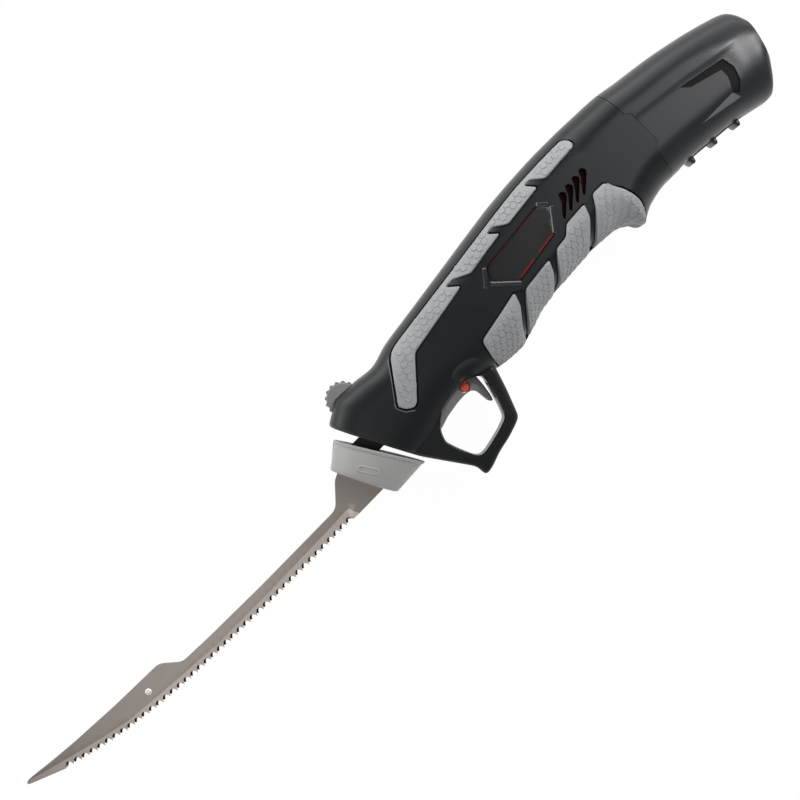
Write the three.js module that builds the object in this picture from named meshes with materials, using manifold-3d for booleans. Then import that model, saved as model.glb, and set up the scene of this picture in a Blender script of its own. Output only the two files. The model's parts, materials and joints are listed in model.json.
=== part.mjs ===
// Cordless electric fillet knife, lying on its side: +X runs from the blades to the battery,
// +Y towards the spine and +Z up through the side that faces the viewer.
// Every place below is measured from the front of the collar, in the plane between the blades.

import * as THREE from 'three';
import { mergeVertices } from 'three/addons/utils/BufferGeometryUtils.js';
import Module from 'manifold-3d';

const wasm = await Module();
wasm.setup();

// Driving dimensions, in millimetres

const GAP = 0.3; // left between pieces that touch
const REACH = 60; // half length of a cutter that goes right through
const FAR = 300; // past the rear of the knife
const SKIN_CLEAR = 1; // that a cutter stands out of the surface
const SMALL_ROUND = 12; // sides of a pin or a screw
const ROUND = 16; // sides of a round piece
const LARGE_ROUND = 24;

// Body, which the housing and the battery share
const FLAT_HALF = 22.8; // half the width across the flat sides
const GRIP_HALF = 23.5; // half the width of the grip's sections, before the flats
const SECTION_POWER = 2.7; // roundness of the body's section
const SECTION_POINTS = 20;
const WALL = 2.6;

// Each station is a section of the body: its spine point, its belly point and its half width
const HANDLE_STATIONS = [
  { spine: [14, 21.5], belly: [35, -19], half: 17 },
  { spine: [25, 28.5], belly: [47, -17.5], half: 17.6 },
  { spine: [36, 28], belly: [56, -14.5], half: 18.3 },
  { spine: [47, 26.8], belly: [64, -13], half: 19.2 },
  { spine: [60, 30], belly: [72, -12.5], half: 20.2 },
  { spine: [75, 32.2], belly: [82, -14], half: 21.2 },
  { spine: [104, 36.4], belly: [104, -16], half: 22.8 },
  { spine: [125, 39.5], belly: [125, -10], half: 23.4 },
  { spine: [140, 41.5], belly: [140, -8.3], half: GRIP_HALF },
  { spine: [160, 43], belly: [160, -7.2], half: GRIP_HALF },
  { spine: [174, 43.6], belly: [174, -8], half: GRIP_HALF },
  { spine: [181, 43.6], belly: [181, -11], half: GRIP_HALF },
  { spine: [185.5, 43.5], belly: [185.5, -16], half: GRIP_HALF },
  { spine: [188.5, 43.4], belly: [188.5, -14.3], half: GRIP_HALF },
  { spine: [194, 43.2], belly: [194, -11.7], half: GRIP_HALF },
  { spine: [208, 42.6], belly: [206, -9.6], half: GRIP_HALF },
];
const BATTERY_STATIONS = [
  { spine: [222, 40.5], belly: [219, -9.7], half: GRIP_HALF },
  { spine: [240, 38], belly: [236, -10.8], half: GRIP_HALF },
  { spine: [258, 34.4], belly: [252, -12.6], half: 23.3 },
  { spine: [271, 31.2], belly: [262, -14.7], half: 23 },
  { spine: [278, 28.9], belly: [267.5, -15.8], half: 22.4 },
];
const BATTERY_END_STATIONS = [
  { spine: [281, 26], belly: [271.5, -13.5], half: 20.5 },
  { spine: [283.4, 22], belly: [276, -8], half: 17 },
];

// Seam between the housing and the battery, with the tongue on each side
const SEAM = [
  [210, 60],
  [210, 26.5],
  [212.5, 24.5],
  [212.5, 7.5],
  [209, 5],
  [209.3, -40],
];

// Finger guard
const GUARD_HALF = 12.5;
const GUARD_CHAMFER = 1.6;
const GUARD_OUTLINE = [
  [31, -11.3],
  [35, -19],
  [50, -40.5],
  [50, -45],
  [51.2, -46.3],
  [55, -45.8],
  [62.5, -43],
  [70, -41.5],
  [78, -38.8],
  [80.3, -37.3],
  [82.3, -32],
  [85, -25],
  [88, -15.5],
  [89.3, -11],
  [89.3, -4],
  [31, -4],
];
const FINGER_HOLE = [
  [50, -16.5],
  [48.2, -21],
  [48, -23],
  [50, -29],
  [53, -36],
  [55, -38],
  [57.5, -38.3],
  [62, -37.5],
  [70, -35.5],
  [75.5, -33.5],
  [78, -27],
  [80.5, -18],
  [82, -13],
  [80.5, -11.2],
  [75, -8.3],
  [70, -8.3],
  [65, -9],
  [60, -10.3],
  [55, -12.2],
];
const FINGER_HOLE_WALL = 2.4; // floor of the housing above the finger hole

// Grip pads, set into pockets of the housing
const PAD_DEPTH = 1.3;
const PAD_PROUD = 0.35;
const PAD_MIDDLE = 2.5; // half width of the bare strip under the belly
const PAD_BELLY = -24; // below the body, so that a pad wraps under it
const FINGER_PADS = [
  [
    [91.6, -1.7],
    [93, -0.6],
    [117.7, 4.3],
    [115.8, -1.7],
    [110, -9.5],
    [108.5, -12.5],
    [107, PAD_BELLY],
    [89.9, PAD_BELLY],
    [90.1, -9.5],
  ],
  [
    [122.6, 1.7],
    [139.5, 3.8],
    [137.1, -2.2],
    [132.5, -8.3],
    [131, PAD_BELLY],
    [110.5, PAD_BELLY],
    [112.5, -11.8],
    [117.7, -4.6],
  ],
  [
    [145.4, 4.8],
    [152.1, 5.5],
    [156.5, 9.7],
    [168.6, 10.4],
    [166.2, 4.1],
    [158, -5.4],
    [157, PAD_BELLY],
    [134.5, PAD_BELLY],
    [137.3, -7.4],
    [142, 0.2],
  ],
  [
    [174.4, 10.9],
    [181.7, 10.9],
    [185.6, 4.1],
    [188, -2.7],
    [189.3, -7.5],
    [189.3, PAD_BELLY],
    [160.5, PAD_BELLY],
    [161.5, -6.8],
    [166.2, -0.8],
    [171, 5.1],
  ],
];
const GRIP_STRIP = [
  [43.6, 5],
  [56.7, 23.1],
  [59.6, 25.3],
  [64.5, 26.5],
  [98.6, 30.9],
  [137.6, 36.2],
  [152.2, 37.9],
  [166.8, 38.6],
  [181.4, 38.8],
  [186.1, 35.7],
  [183.3, 32.7],
  [164.3, 31.3],
  [159.5, 35.7],
  [156.5, 35.7],
  [159, 31],
  [137.6, 28.7],
  [132.2, 32.6],
  [128.8, 32.6],
  [132, 28.1],
  [109.8, 24.8],
  [102.5, 29.4],
  [98.8, 29.4],
  [103, 23.8],
  [84, 20.4],
  [71.3, 18.2],
  [66.5, 17.2],
  [51.4, 0.7],
  [48.9, -0.5],
  [45.5, 1.6],
];

// Badge plate and vents
const BADGE_OUTLINE = [
  [113.1, 14.7],
  [117, 21.5],
  [152.2, 25.3],
  [157, 21],
  [149.8, 10.2],
  [123.2, 6],
];
const BADGE_DEPTH = 1;
const BADGE_SUNK = 0.15;
const VENT_COUNT = 4;
const VENT_PITCH = [4.67, 0.47];
const VENT_OUTLINE = [
  [156.7, 12.8],
  [162.7, 20.6],
  [161.8, 22.6],
  [163.8, 23.2],
  [165, 20.4],
  [158.4, 11.8],
];

// Drive train: motor shaft with a worm above the crank gear
const CRANK_CENTRE = [52, 4.5];
const GEAR_MODULE = 0.75;
const GEAR_TEETH = 24;
const GEAR_WIDTH = 6;
const WORM_STARTS = 2;
const WORM_PITCH_RADIUS = 3.4;
const WORM_LENGTH = 13;
const WORM_STEPS_PER_TURN = 10;
const TOOTH_ADDENDUM = 1; // in modules
const TOOTH_DEDENDUM = 1.25;
const TOOTH_SLOPE = 0.36; // tangent of the pressure angle
const TOOTH_PLAY = 0.14; // taken off each flank
const CRANK_THROW = 2.2;
const CRANK_AXLE_RADIUS = 1.5;
const CRANK_DISC_WALL = 0.6; // of the eccentric, where it is thinnest round the bore
const CRANK_DISC_WIDTH = 4;
const SHAFT_RADIUS = 1.25;

const MOTOR_FRONT = 92;
const MOTOR_LENGTH = 40;
const MOTOR_RADIUS = 14;
const MOTOR_CAN_WALL = 1.2;
const MOTOR_MAGNET_THICK = 2.2;
const MOTOR_AIR_GAP = 0.5;
const MOTOR_MAGNET_HALF = 6.4; // half height of a magnet
const MOTOR_STACK_LENGTH = 26;
const END_BELL_LENGTH = 6;
const SHAFT_TAIL = 3; // past the end bell
const SHAFT_LEAD = 1; // behind the front of the gear frame
const RIB_HALF = 1.2; // half thickness of a rib of the housing
const MOTOR_SEATS = [8, 32]; // ribs round the motor, from its front

// Gear frame: two cheeks, a bearing block and the plate that the motor is fixed to
const FRAME_FRONT = 41;
const FRAME_LOW = -4;
const FRAME_HIGH = 20.5;
const FRAME_INSIDE = 9.5; // half the space between the cheeks
const FRAME_CHEEK = 2.5;
const FRAME_BLOCK = [3.5, 14]; // length and underside of the bearing block
const MOTOR_PLATE = [5, 26]; // thickness and top
const FRAME_SEATS = [3, 39]; // ribs beside the frame, from its front
const SEAT_INSET = 2; // of a rib from the edges of the piece that it holds

// Drive bars, with a yoke round each eccentric
const BAR_THICK = 3;
const BAR_PLAY = 0.5; // between a bar and the gear
const BAR_LOW = -3;
const BAR_HIGH = 8;
const BAR_FRONT = 27;
const YOKE_RIM = 2;

// Spring catches on the drive bars
const CATCH_FRONT = 28.2;
const CATCH_THICK = 0.6;
const CATCH_TOOTH = [34.4, 1.2, 1.4]; // place, length and depth

// Blades
const BLADE_THICK = 1.1;
const BLADE_HALF_GAP = 0.15;
const BLADE_TIP = -204.5;
const TANG = { low: -2, high: 7, rear: 38.5 };
const HEEL_LOW = -17.5;
const BLADE_SPINE = [
  [-4.8, HEEL_LOW],
  [15.3, -17.2],
  [13.5, TANG.low],
  [TANG.rear, TANG.low],
  [TANG.rear, TANG.high],
  [8, TANG.high],
  [3.5, 4.2],
  [0, 2.5],
  [-2, 1.5],
  [-10, -7.2],
  [-13, -8.4],
  [-60, -8.9],
  [-95, -8.6],
  [BLADE_TIP + 91.5, -8],
  [BLADE_TIP + 83, -0.7],
  [BLADE_TIP + 54.5, -0.1],
  [BLADE_TIP + 29.5, 1.2],
  [BLADE_TIP + 14.5, 2.5],
  [BLADE_TIP + 1.5, 4],
  [BLADE_TIP + 0.2, 3.4],
  [BLADE_TIP, 2.7],
  [BLADE_TIP + 0.9, 1.7],
  [BLADE_TIP + 5.5, -0.3],
];
const TOOTH_LINE = [
  [BLADE_TIP + 17.8, -4.8],
  [BLADE_TIP + 26.4, -7.5],
  [BLADE_TIP + 34.8, -9.6],
  [BLADE_TIP + 51.8, -13],
  [BLADE_TIP + 68.5, -15],
  [BLADE_TIP + 85.5, -16.5],
  [-98, -17.3],
  [-60, -18],
  [-30, -17.9],
  [-10.5, -17.5],
];
const TOOTH_COUNT = 42;
const GULLET_DEPTH = 2.2;
const GULLET_SHARES = [0.34, 0.66]; // where a gullet's floor starts and ends between two teeth
const BEVEL_LINE = [
  [BLADE_TIP + 0.5, 4.2],
  [BLADE_TIP + 9.5, 1.5],
  [BLADE_TIP + 24.5, -2.5],
  [BLADE_TIP + 39.5, -6.3],
  [BLADE_TIP + 54.5, -9.5],
  [BLADE_TIP + 69.5, -10.8],
  [BLADE_TIP + 84.5, -12],
  [-95, -13.6],
  [-60, -13.5],
  [-20, -12.2],
  [-7, -11.3],
];
const EDGE_LINE = [
  [BLADE_TIP - 1.5, 1.5],
  [BLADE_TIP + 6.5, -2],
  [BLADE_TIP + 20.5, -8],
  [BLADE_TIP + 36.5, -12],
  [BLADE_TIP + 52.5, -15],
  [BLADE_TIP + 68.5, -17],
  [BLADE_TIP + 85.5, -18],
  [-95, -19],
  [-60, -19.5],
  [-20, -19.5],
  [-5, -19.5],
];
const EDGE_THICK = 0.25;
const RIVET_CENTRE = [BLADE_TIP + 70.8, -6.8];
const RIVET_SHANK = 1.2;
const RIVET_HEAD = [1.8, 0.5]; // radius and height

// Collar and tang carriers
const COLLAR_FRONT = [
  [0, 6.5],
  [15, -23],
];
const COLLAR_REAR = [
  [11.5, 15.2],
  [34.3, -21.8],
];
const COLLAR_HALF = [11, 16.5]; // half width at the front and at the rear rim
const COLLAR_POWER = 2.4;
const COLLAR_WALL = 2;
const COLLAR_FLOOR = 4;
const COLLAR_SHARES = [0, 0.12, 0.4, 0.7, 1]; // where its rings lie between the front and the rear rim
const COLLAR_PAST = 1.2; // the same, for the space inside, past the rear rim
const COLLAR_PARTING = 0.2;
const PILL_CENTRE = [13.5, -6];
const PILL_SIZE = [0.9, 8.2]; // radius and straight length
const PILL_LEAN = -0.96; // turn from the blade's axis, in radians
const CARRIER_HALF = 6.4; // outer face of a carrier, from the middle plane
const CARRIER_TONGUE = 3.1; // outer face of the tongue that the drive bar laps

// Mouth of the nose and its seal
const MOUTH = { low: -4.3, high: 9.3, half: 7.6, rear: 35 };
const SEAL = { low: -9, high: 13, half: 12, thick: 4 };

// Trigger, its lock button and the switch
const TRIGGER_HALF = 6;
const TRIGGER_PLAY = 0.4; // on each side, in its slot
const TRIGGER_PIVOT = [47.5, -12];
const TRIGGER_BOSS = 3.2;
const TRIGGER_PIN = [1.5, 10.5]; // radius and half length
const TRIGGER_OUTLINE = [
  [47, -15.2],
  [50.5, -16.6],
  [57, -14.5],
  [65, -13.2],
  [70, -13],
  [73, -13.6],
  [75, -15.5],
  [75.3, -19],
  [75.7, -23],
  [77, -24.4],
  [78, -22],
  [79, -16],
  [79.4, -11],
  [79.2, -5.4],
  [78.4, -4.6],
  [68, -4.6],
  [65.5, -8.2],
  [58, -9.4],
  [48.6, -9],
];
const TRIGGER_SLOT = [43.4, 81.3, -17.6]; // front, rear and lowest point of its slot in the housing
const LOCK_CENTRE = [72, -10.3];
const LOCK_RADIUS = 2.4;
const LOCK_CHAMFER = 0.6;
const LOCK_TRAVEL = 3;
const SWITCH = { front: 67.5, rear: 85.5, low: 2, high: 11 };
const SWITCH_PIVOT = [84, 0];
const SWITCH_LEVER = { tip: 70.5, drop: 2.6, thick: 1, eye: 1.6, foot: 1.6, near: 2.7, far: 5.4 };
const SWITCH_LUG = { pin: 0.7, thick: 0.8, half: 1.5 };
const SWITCH_BUTTON = { place: 78.5, radius: 1.2, reach: 0.9 };
const SPRING = { place: 76.6, radius: 1.7, wire: 0.35, turns: 4, pocket: 4, steps: 8, sides: 5 };

// Knurled release wheel in the spine of the nose, and the rocker under it
const WHEEL_CENTRE = [28, 26];
const WHEEL_RADIUS = 8.2;
const WHEEL_BUMP = 0.45;
const WHEEL_BUMPS = 16;
const WHEEL_POINTS_PER_BUMP = 3;
const WHEEL_HALF = 4.5;
const WHEEL_CAM = 5.5;
const WHEEL_LIFT = 1; // that the cam gives over its turn
const WHEEL_TURN = Math.PI / 3;
const WHEEL_CAM_ROOM = 0.75; // turn past each end of the cam's rise, clear of the rocker
const WHEEL_LUG = { half: 4, below: 5, wall: 2 };
const WHEEL_AXLE = [1.3, 7.8]; // radius and half length
const ROCKER_PIVOT = [37, 16.5];
const ROCKER_TRUNNION = [1.3, 4.6]; // radius and half length
const ROCKER_EYE = 2.4;
const ROCKER_PAD = [25, 31.5];
const ROCKER_PAD_HALF = 3.5;
const ROCKER_PAD_THICK = 2;
const ROCKER_STEM = [28.5, 31.5];
const ROCKER_HALF = 2; // of the stem and the arm
const ROCKER_ARM = [13.6, 17.4]; // where the arm leaves the stem
const ROCKER_FOOT = 9.3; // underside of its foot

// Housing screws, driven in from the far side
const SCREW_PLACES = [
  [39.5, -13],
  [56.5, -42.2],
  [72, 26.5],
  [97, -8.5],
  [148, 35],
  [148, -1.5],
  [177.5, 36.5],
];
const SCREW_SHANK = 1.3;
const SCREW_HEAD = [2.5, 2]; // radius and height
const SCREW_SEAT = 6; // depth of the head's seat from the middle plane
const SCREW_REACH = 7; // into the near half
const BOSS_RADIUS = 3.9;
const PARTING = 0.15; // half the gap between the housing halves

// Battery
const PLUG_CENTRE = [210, 16.3];
const PLUG_LEAN = -0.105; // slope of the plug's axis, in radians
const PLUG_HALF = [18, 16]; // half height and half width
const PLUG_FRONT = 21; // length in front of the seam
const PLUG_WALL = 2;
const PLUG_COLLAR = [6, 1.2]; // the housing's collar round the plug, in front of the seam
const PLUG_LAP = 2.5; // of the plug behind the seam, into its flange
const FLANGE = [211.2, 213]; // front and rear of the plate that closes the battery case
const CELL_RADIUS = 9.1;
const CELL_LENGTH = 49.5;
const CELL_START = 214;
const CELL_LEAN = -0.15;
const CELL_MIDDLE = 12.6; // of the three cells, at half length
const BOARD_THICK = 1.6;
const LABEL_GROOVE = [
  [243, 17],
  [259.5, 15],
  [263, 9],
  [261, 2.5],
  [255.5, -7],
  [251, -5.5],
  [256.5, 3],
  [258, 8.5],
  [256.5, 11],
  [243, 13],
];
const LABEL_DEPTH = 0.9;
const LATCH = { front: 218.5, length: 34, half: 6, thick: 2, travel: 3, pocket: 1.6, open: 8 };
const LATCH_FINS = [3.5, 17, 30.5]; // from the latch's front
const FIN_SIZE = [5, 2.6]; // length and height

// Terminal block of the housing
const TERMINAL = { front: 174, rear: 184, low: 9, high: 26, half: 12, seat: 3 };
const TAB = { length: 9, root: 1, height: 6, thick: 1, apart: 10, room: 2, board: 3 };

// Colours from the photograph
const FINISH = {
  black: { color: 0x232528, roughness: 0.5, metalness: 0 },
  grip: { color: 0x96969b, roughness: 0.8, metalness: 0 },
  silver: { color: 0x969693, roughness: 0.45, metalness: 0.3 },
  trigger: { color: 0x7d7d7b, roughness: 0.55, metalness: 0 },
  red: { color: 0xe03a30, roughness: 0.4, metalness: 0 },
  blade: { color: 0xb4aca6, roughness: 0.3, metalness: 0.9 },
  steel: { color: 0xa8a8aa, roughness: 0.35, metalness: 0.9 },
  brass: { color: 0xb99a52, roughness: 0.4, metalness: 0.9 },
  nylon: { color: 0xd8d4c6, roughness: 0.6, metalness: 0 },
  magnet: { color: 0x4a4a4c, roughness: 0.8, metalness: 0 },
  cell: { color: 0x3f7d58, roughness: 0.5, metalness: 0 },
  board: { color: 0x1f5a32, roughness: 0.6, metalness: 0 },
};

// Places that follow from the sizes above

const GEAR_PITCH_RADIUS = (GEAR_MODULE * GEAR_TEETH) / 2;
const WORM_LEAD = Math.PI * GEAR_MODULE * WORM_STARTS;
const SHAFT_HEIGHT = CRANK_CENTRE[1] + GEAR_PITCH_RADIUS + WORM_PITCH_RADIUS;
const CRANK_BORE = CRANK_AXLE_RADIUS + GAP;
const CRANK_DISC = CRANK_THROW + CRANK_BORE + CRANK_DISC_WALL;
const BAR_INNER = GEAR_WIDTH / 2 + BAR_PLAY;
const BAR_OUTER = BAR_INNER + BAR_THICK;
const YOKE_HALF_X = CRANK_DISC + 2 * CRANK_THROW + GAP;
const YOKE_HALF_Y = CRANK_DISC + CRANK_THROW + GAP;
const FRAME_OUTSIDE = FRAME_INSIDE + FRAME_CHEEK;
const MOTOR_REAR = MOTOR_FRONT + MOTOR_LENGTH;
const SHAFT_END = MOTOR_REAR + GAP + END_BELL_LENGTH + SHAFT_TAIL;
const TRIGGER_TOP = Math.max(...TRIGGER_OUTLINE.map(([, y]) => y));
const TERMINAL_MIDDLE = (TERMINAL.low + TERMINAL.high) / 2;
const LATCH_REAR = LATCH.front + LATCH.length;
const SIDES = { left: 1, right: -1 };

// Geometry helpers

/** Closed mesh of a geometry, as a solid with its faces pointing out. */
function solidOf(geometry) {
  const bare = geometry.clone();
  bare.deleteAttribute('normal');
  bare.deleteAttribute('uv');
  const merged = mergeVertices(bare, 1e-4);
  const vertProperties = new Float32Array(merged.attributes.position.array);
  const corner = (i) => new THREE.Vector3().fromArray(vertProperties, 3 * i);
  const faces = [];
  let volume = 0;
  for (let i = 0; i < merged.index.count; i += 3) {
    const face = [0, 1, 2].map((k) => merged.index.getX(i + k));
    if (new Set(face).size < 3) continue;
    const [a, b, c] = face.map(corner);
    volume += a.dot(b.cross(c));
    faces.push(face);
  }
  const outward = volume > 0 ? faces : faces.map(([a, b, c]) => [a, c, b]);
  const triVerts = new Uint32Array(outward.flat());
  return new wasm.Manifold(new wasm.Mesh({ numProp: 3, vertProperties, triVerts }));
}

function geometryOf(solid) {
  const { vertProperties, triVerts } = solid.getMesh();
  const geometry = new THREE.BufferGeometry();
  geometry.setAttribute('position', new THREE.BufferAttribute(new Float32Array(vertProperties), 3));
  geometry.setIndex(new THREE.BufferAttribute(new Uint32Array(triVerts), 1));
  geometry.computeVertexNormals();
  return geometry;
}

/** Joins solids into one. */
function join(...solids) {
  return solids.reduce((sum, next) => sum.add(next));
}

/** Takes cutters away from a solid. */
function cut(solid, ...cutters) {
  return cutters.reduce((rest, next) => rest.subtract(next), solid);
}

function shapeOf(outline) {
  return new THREE.Shape(outline.map(([x, y]) => new THREE.Vector2(x, y)));
}

/** An XY outline carried from one Z to another. */
function prism(outline, low, high) {
  const geometry = new THREE.ExtrudeGeometry(shapeOf(outline), { depth: high - low, bevelEnabled: false });
  return solidOf(geometry.translate(0, 0, low));
}

function block(x, y, z) {
  const geometry = new THREE.BoxGeometry(x[1] - x[0], y[1] - y[0], z[1] - z[0]);
  return solidOf(geometry.translate((x[0] + x[1]) / 2, (y[0] + y[1]) / 2, (z[0] + z[1]) / 2));
}

/** Round bar along Z. */
function roundZ([x, y], radius, low, high, sides = ROUND) {
  const geometry = new THREE.CylinderGeometry(radius, radius, high - low, sides).rotateX(Math.PI / 2);
  return solidOf(geometry.translate(x, y, (low + high) / 2));
}

/** Round bar along Y at a place on the middle plane. */
function roundY(x, radius, low, high, sides = ROUND) {
  const geometry = new THREE.CylinderGeometry(radius, radius, high - low, sides);
  return solidOf(geometry.translate(x, (low + high) / 2, 0));
}

/** Turned piece on the motor's axis, from points of X and radius. */
function turnedX(profile, sides = ROUND) {
  const points = profile.map(([x, radius]) => new THREE.Vector2(radius, x));
  const geometry = new THREE.LatheGeometry(points, sides).rotateZ(-Math.PI / 2);
  return solidOf(geometry.translate(0, SHAFT_HEIGHT, 0));
}

/** Closed skin through rings that have the same number of points. */
function loft(rings) {
  const count = rings[0].length;
  const points = rings.flat();
  const faces = [];
  for (let ring = 0; ring + 1 < rings.length; ring += 1) {
    for (let i = 0; i < count; i += 1) {
      const a = ring * count + i;
      const b = ring * count + ((i + 1) % count);
      faces.push([a, b, b + count], [a, b + count, a + count]);
    }
  }
  const addCap = (ring, first, flip) => {
    const middle = ring.reduce((sum, p) => sum.add(p), new THREE.Vector3()).divideScalar(count);
    const centre = points.push(middle) - 1;
    for (let i = 0; i < count; i += 1) {
      const [a, b] = [first + i, first + ((i + 1) % count)];
      faces.push(flip ? [centre, b, a] : [centre, a, b]);
    }
  };
  addCap(rings[0], 0, true);
  addCap(rings.at(-1), (rings.length - 1) * count, false);
  const geometry = new THREE.BufferGeometry().setFromPoints(points);
  geometry.setIndex(faces.flat());
  return solidOf(geometry);
}

/** Superellipse across the middle plane between a high and a low point. */
function ovalRing(high, low, half, power, count = SECTION_POINTS) {
  const top = new THREE.Vector2(...high);
  const bottom = new THREE.Vector2(...low);
  const middle = top.clone().add(bottom).divideScalar(2);
  const arm = top.clone().sub(middle);
  const bulge = (value) => Math.sign(value) * Math.abs(value) ** (2 / power);
  return Array.from({ length: count }, (_, i) => {
    const angle = (2 * Math.PI * i) / count;
    const up = bulge(Math.sin(angle));
    const out = bulge(Math.cos(angle));
    return new THREE.Vector3(middle.x + arm.x * up, middle.y + arm.y * up, half * out);
  });
}

/** Straight mix of two points. */
function mix(a, b, share) {
  return a.map((value, i) => value + (b[i] - value) * share);
}

/** Moves the first point away from the second. */
function pushed(point, from, distance) {
  const length = Math.hypot(point[0] - from[0], point[1] - from[1]);
  return mix(from, point, (length + distance) / length);
}

/** Outline grown by a distance on every side, its corners kept sharp. */
function grown(outline, distance) {
  const turn = THREE.ShapeUtils.area(outline.map(([x, y]) => new THREE.Vector2(x, y))) > 0 ? 1 : -1;
  const normal = (a, b) => {
    const length = Math.hypot(b[0] - a[0], b[1] - a[1]);
    return [(turn * (b[1] - a[1])) / length, (-turn * (b[0] - a[0])) / length];
  };
  return outline.map((point, i) => {
    const before = outline.at(i - 1);
    const after = outline[(i + 1) % outline.length];
    const n = normal(before, point);
    const m = normal(point, after);
    const reach = distance / (1 + n[0] * m[0] + n[1] * m[1]);
    return [point[0] + reach * (n[0] + m[0]), point[1] + reach * (n[1] + m[1])];
  });
}

/** Outline of a gear or worm section, carried along Z with a steady twist. */
function twisted(section, low, high, twistPerLength, steps) {
  const rings = Array.from({ length: steps + 1 }, (_, i) => {
    const z = low + ((high - low) * i) / steps;
    return section.map(([radius, angle]) => {
      const turned = angle + twistPerLength * z;
      return new THREE.Vector3(radius * Math.cos(turned), radius * Math.sin(turned), z);
    });
  });
  return loft(rings);
}

/** Everything between two heights above the middle plane. */
function between(low, high) {
  return block([-FAR, FAR], [-FAR, FAR], [low, high]);
}

/** Everything on one side of the middle plane, from a distance out. */
function beside(side, from) {
  return side > 0 ? between(from, REACH) : between(-REACH, -from);
}

/** Low and high end of a span on one side of the middle plane. */
function spanZ(side, inner, outer) {
  return [side * inner, side * outer].sort((a, b) => a - b);
}

/** Place along the knife where a slanted line is at a height. */
function lineAt(high, low, y) {
  return high[0] + ((high[1] - y) / (high[1] - low[1])) * (low[0] - high[0]);
}

// Body shared by the housing and the battery

const BODY_STATIONS = [...HANDLE_STATIONS, ...BATTERY_STATIONS, ...BATTERY_END_STATIONS];

function bodyRing({ spine, belly, half }, offset) {
  return ovalRing(pushed(spine, belly, offset), pushed(belly, spine, offset), half + offset, SECTION_POWER);
}

/** The body, grown or shrunk, and never wider than its flat sides. */
function bodySolid(offset) {
  const skin = loft(BODY_STATIONS.map((station) => bodyRing(station, offset)));
  const flat = FLAT_HALF + Math.min(offset, 0);
  return skin.intersect(between(-flat, flat));
}

/** Station just behind the nose wall. */
function noseWallStation() {
  const [first, second] = HANDLE_STATIONS;
  const share = WALL / Math.hypot(second.spine[0] - first.spine[0], second.spine[1] - first.spine[1]);
  return {
    spine: mix(first.spine, second.spine, share),
    belly: mix(first.belly, second.belly, share),
    half: first.half,
  };
}

/** Space inside the body, from behind the nose wall to the battery's end wall. */
function bodySpace() {
  const inner = [noseWallStation(), ...HANDLE_STATIONS.slice(1), ...BATTERY_STATIONS];
  const flat = FLAT_HALF - WALL;
  return loft(inner.map((station) => bodyRing(station, -WALL))).intersect(between(-flat, flat));
}

/** Everything behind the seam, which the gap moves back. */
function behindSeam(gap) {
  const edge = SEAM.map(([x, y]) => [x + gap, y]);
  return prism([...edge, [FAR, SEAM.at(-1)[1]], [FAR, SEAM[0][1]]], -REACH, REACH);
}

const BODY = bodySolid(0);
const SPACE = bodySpace();

/** Part of the body's skin between two offsets, inside an outline, on one side. */
function skinPiece(outline, low, high, side, middle) {
  const layer = bodySolid(high).subtract(bodySolid(low));
  return layer.intersect(prism(outline, ...spanZ(side, middle, REACH)));
}

// Housing

function guard() {
  const geometry = new THREE.ExtrudeGeometry(shapeOf(GUARD_OUTLINE), {
    depth: 2 * (GUARD_HALF - GUARD_CHAMFER),
    bevelThickness: GUARD_CHAMFER,
    bevelSize: GUARD_CHAMFER,
    bevelOffset: -GUARD_CHAMFER,
    bevelSegments: 1,
  });
  return solidOf(geometry.translate(0, 0, GUARD_CHAMFER - GUARD_HALF));
}

function ventCutters(side) {
  return Array.from({ length: VENT_COUNT }, (_, i) => {
    const slot = VENT_OUTLINE.map(([x, y]) => [x + i * VENT_PITCH[0], y + i * VENT_PITCH[1]]);
    return prism(slot, ...spanZ(side, FLAT_HALF - 2 * WALL, REACH));
  });
}

/** Axis direction and section of the battery's plug. */
function plugRing(distance, grow) {
  const x = PLUG_CENTRE[0] + distance * Math.cos(PLUG_LEAN);
  const y = PLUG_CENTRE[1] + distance * Math.sin(PLUG_LEAN);
  const arm = PLUG_HALF[0] + grow;
  const across = [-Math.sin(PLUG_LEAN) * arm, Math.cos(PLUG_LEAN) * arm];
  const high = [x + across[0], y + across[1]];
  const low = [x - across[0], y - across[1]];
  return ovalRing(high, low, PLUG_HALF[1] + grow, SECTION_POWER);
}

function plugSolid(start, end, grow) {
  return loft([plugRing(start, grow), plugRing(end, grow)]);
}

/** Round hole along the motor's axis. */
function motorAxisHole(radius, sides) {
  return turnedX([[0, 0], [0, radius], [FAR, radius], [FAR, 0]], sides);
}

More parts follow.
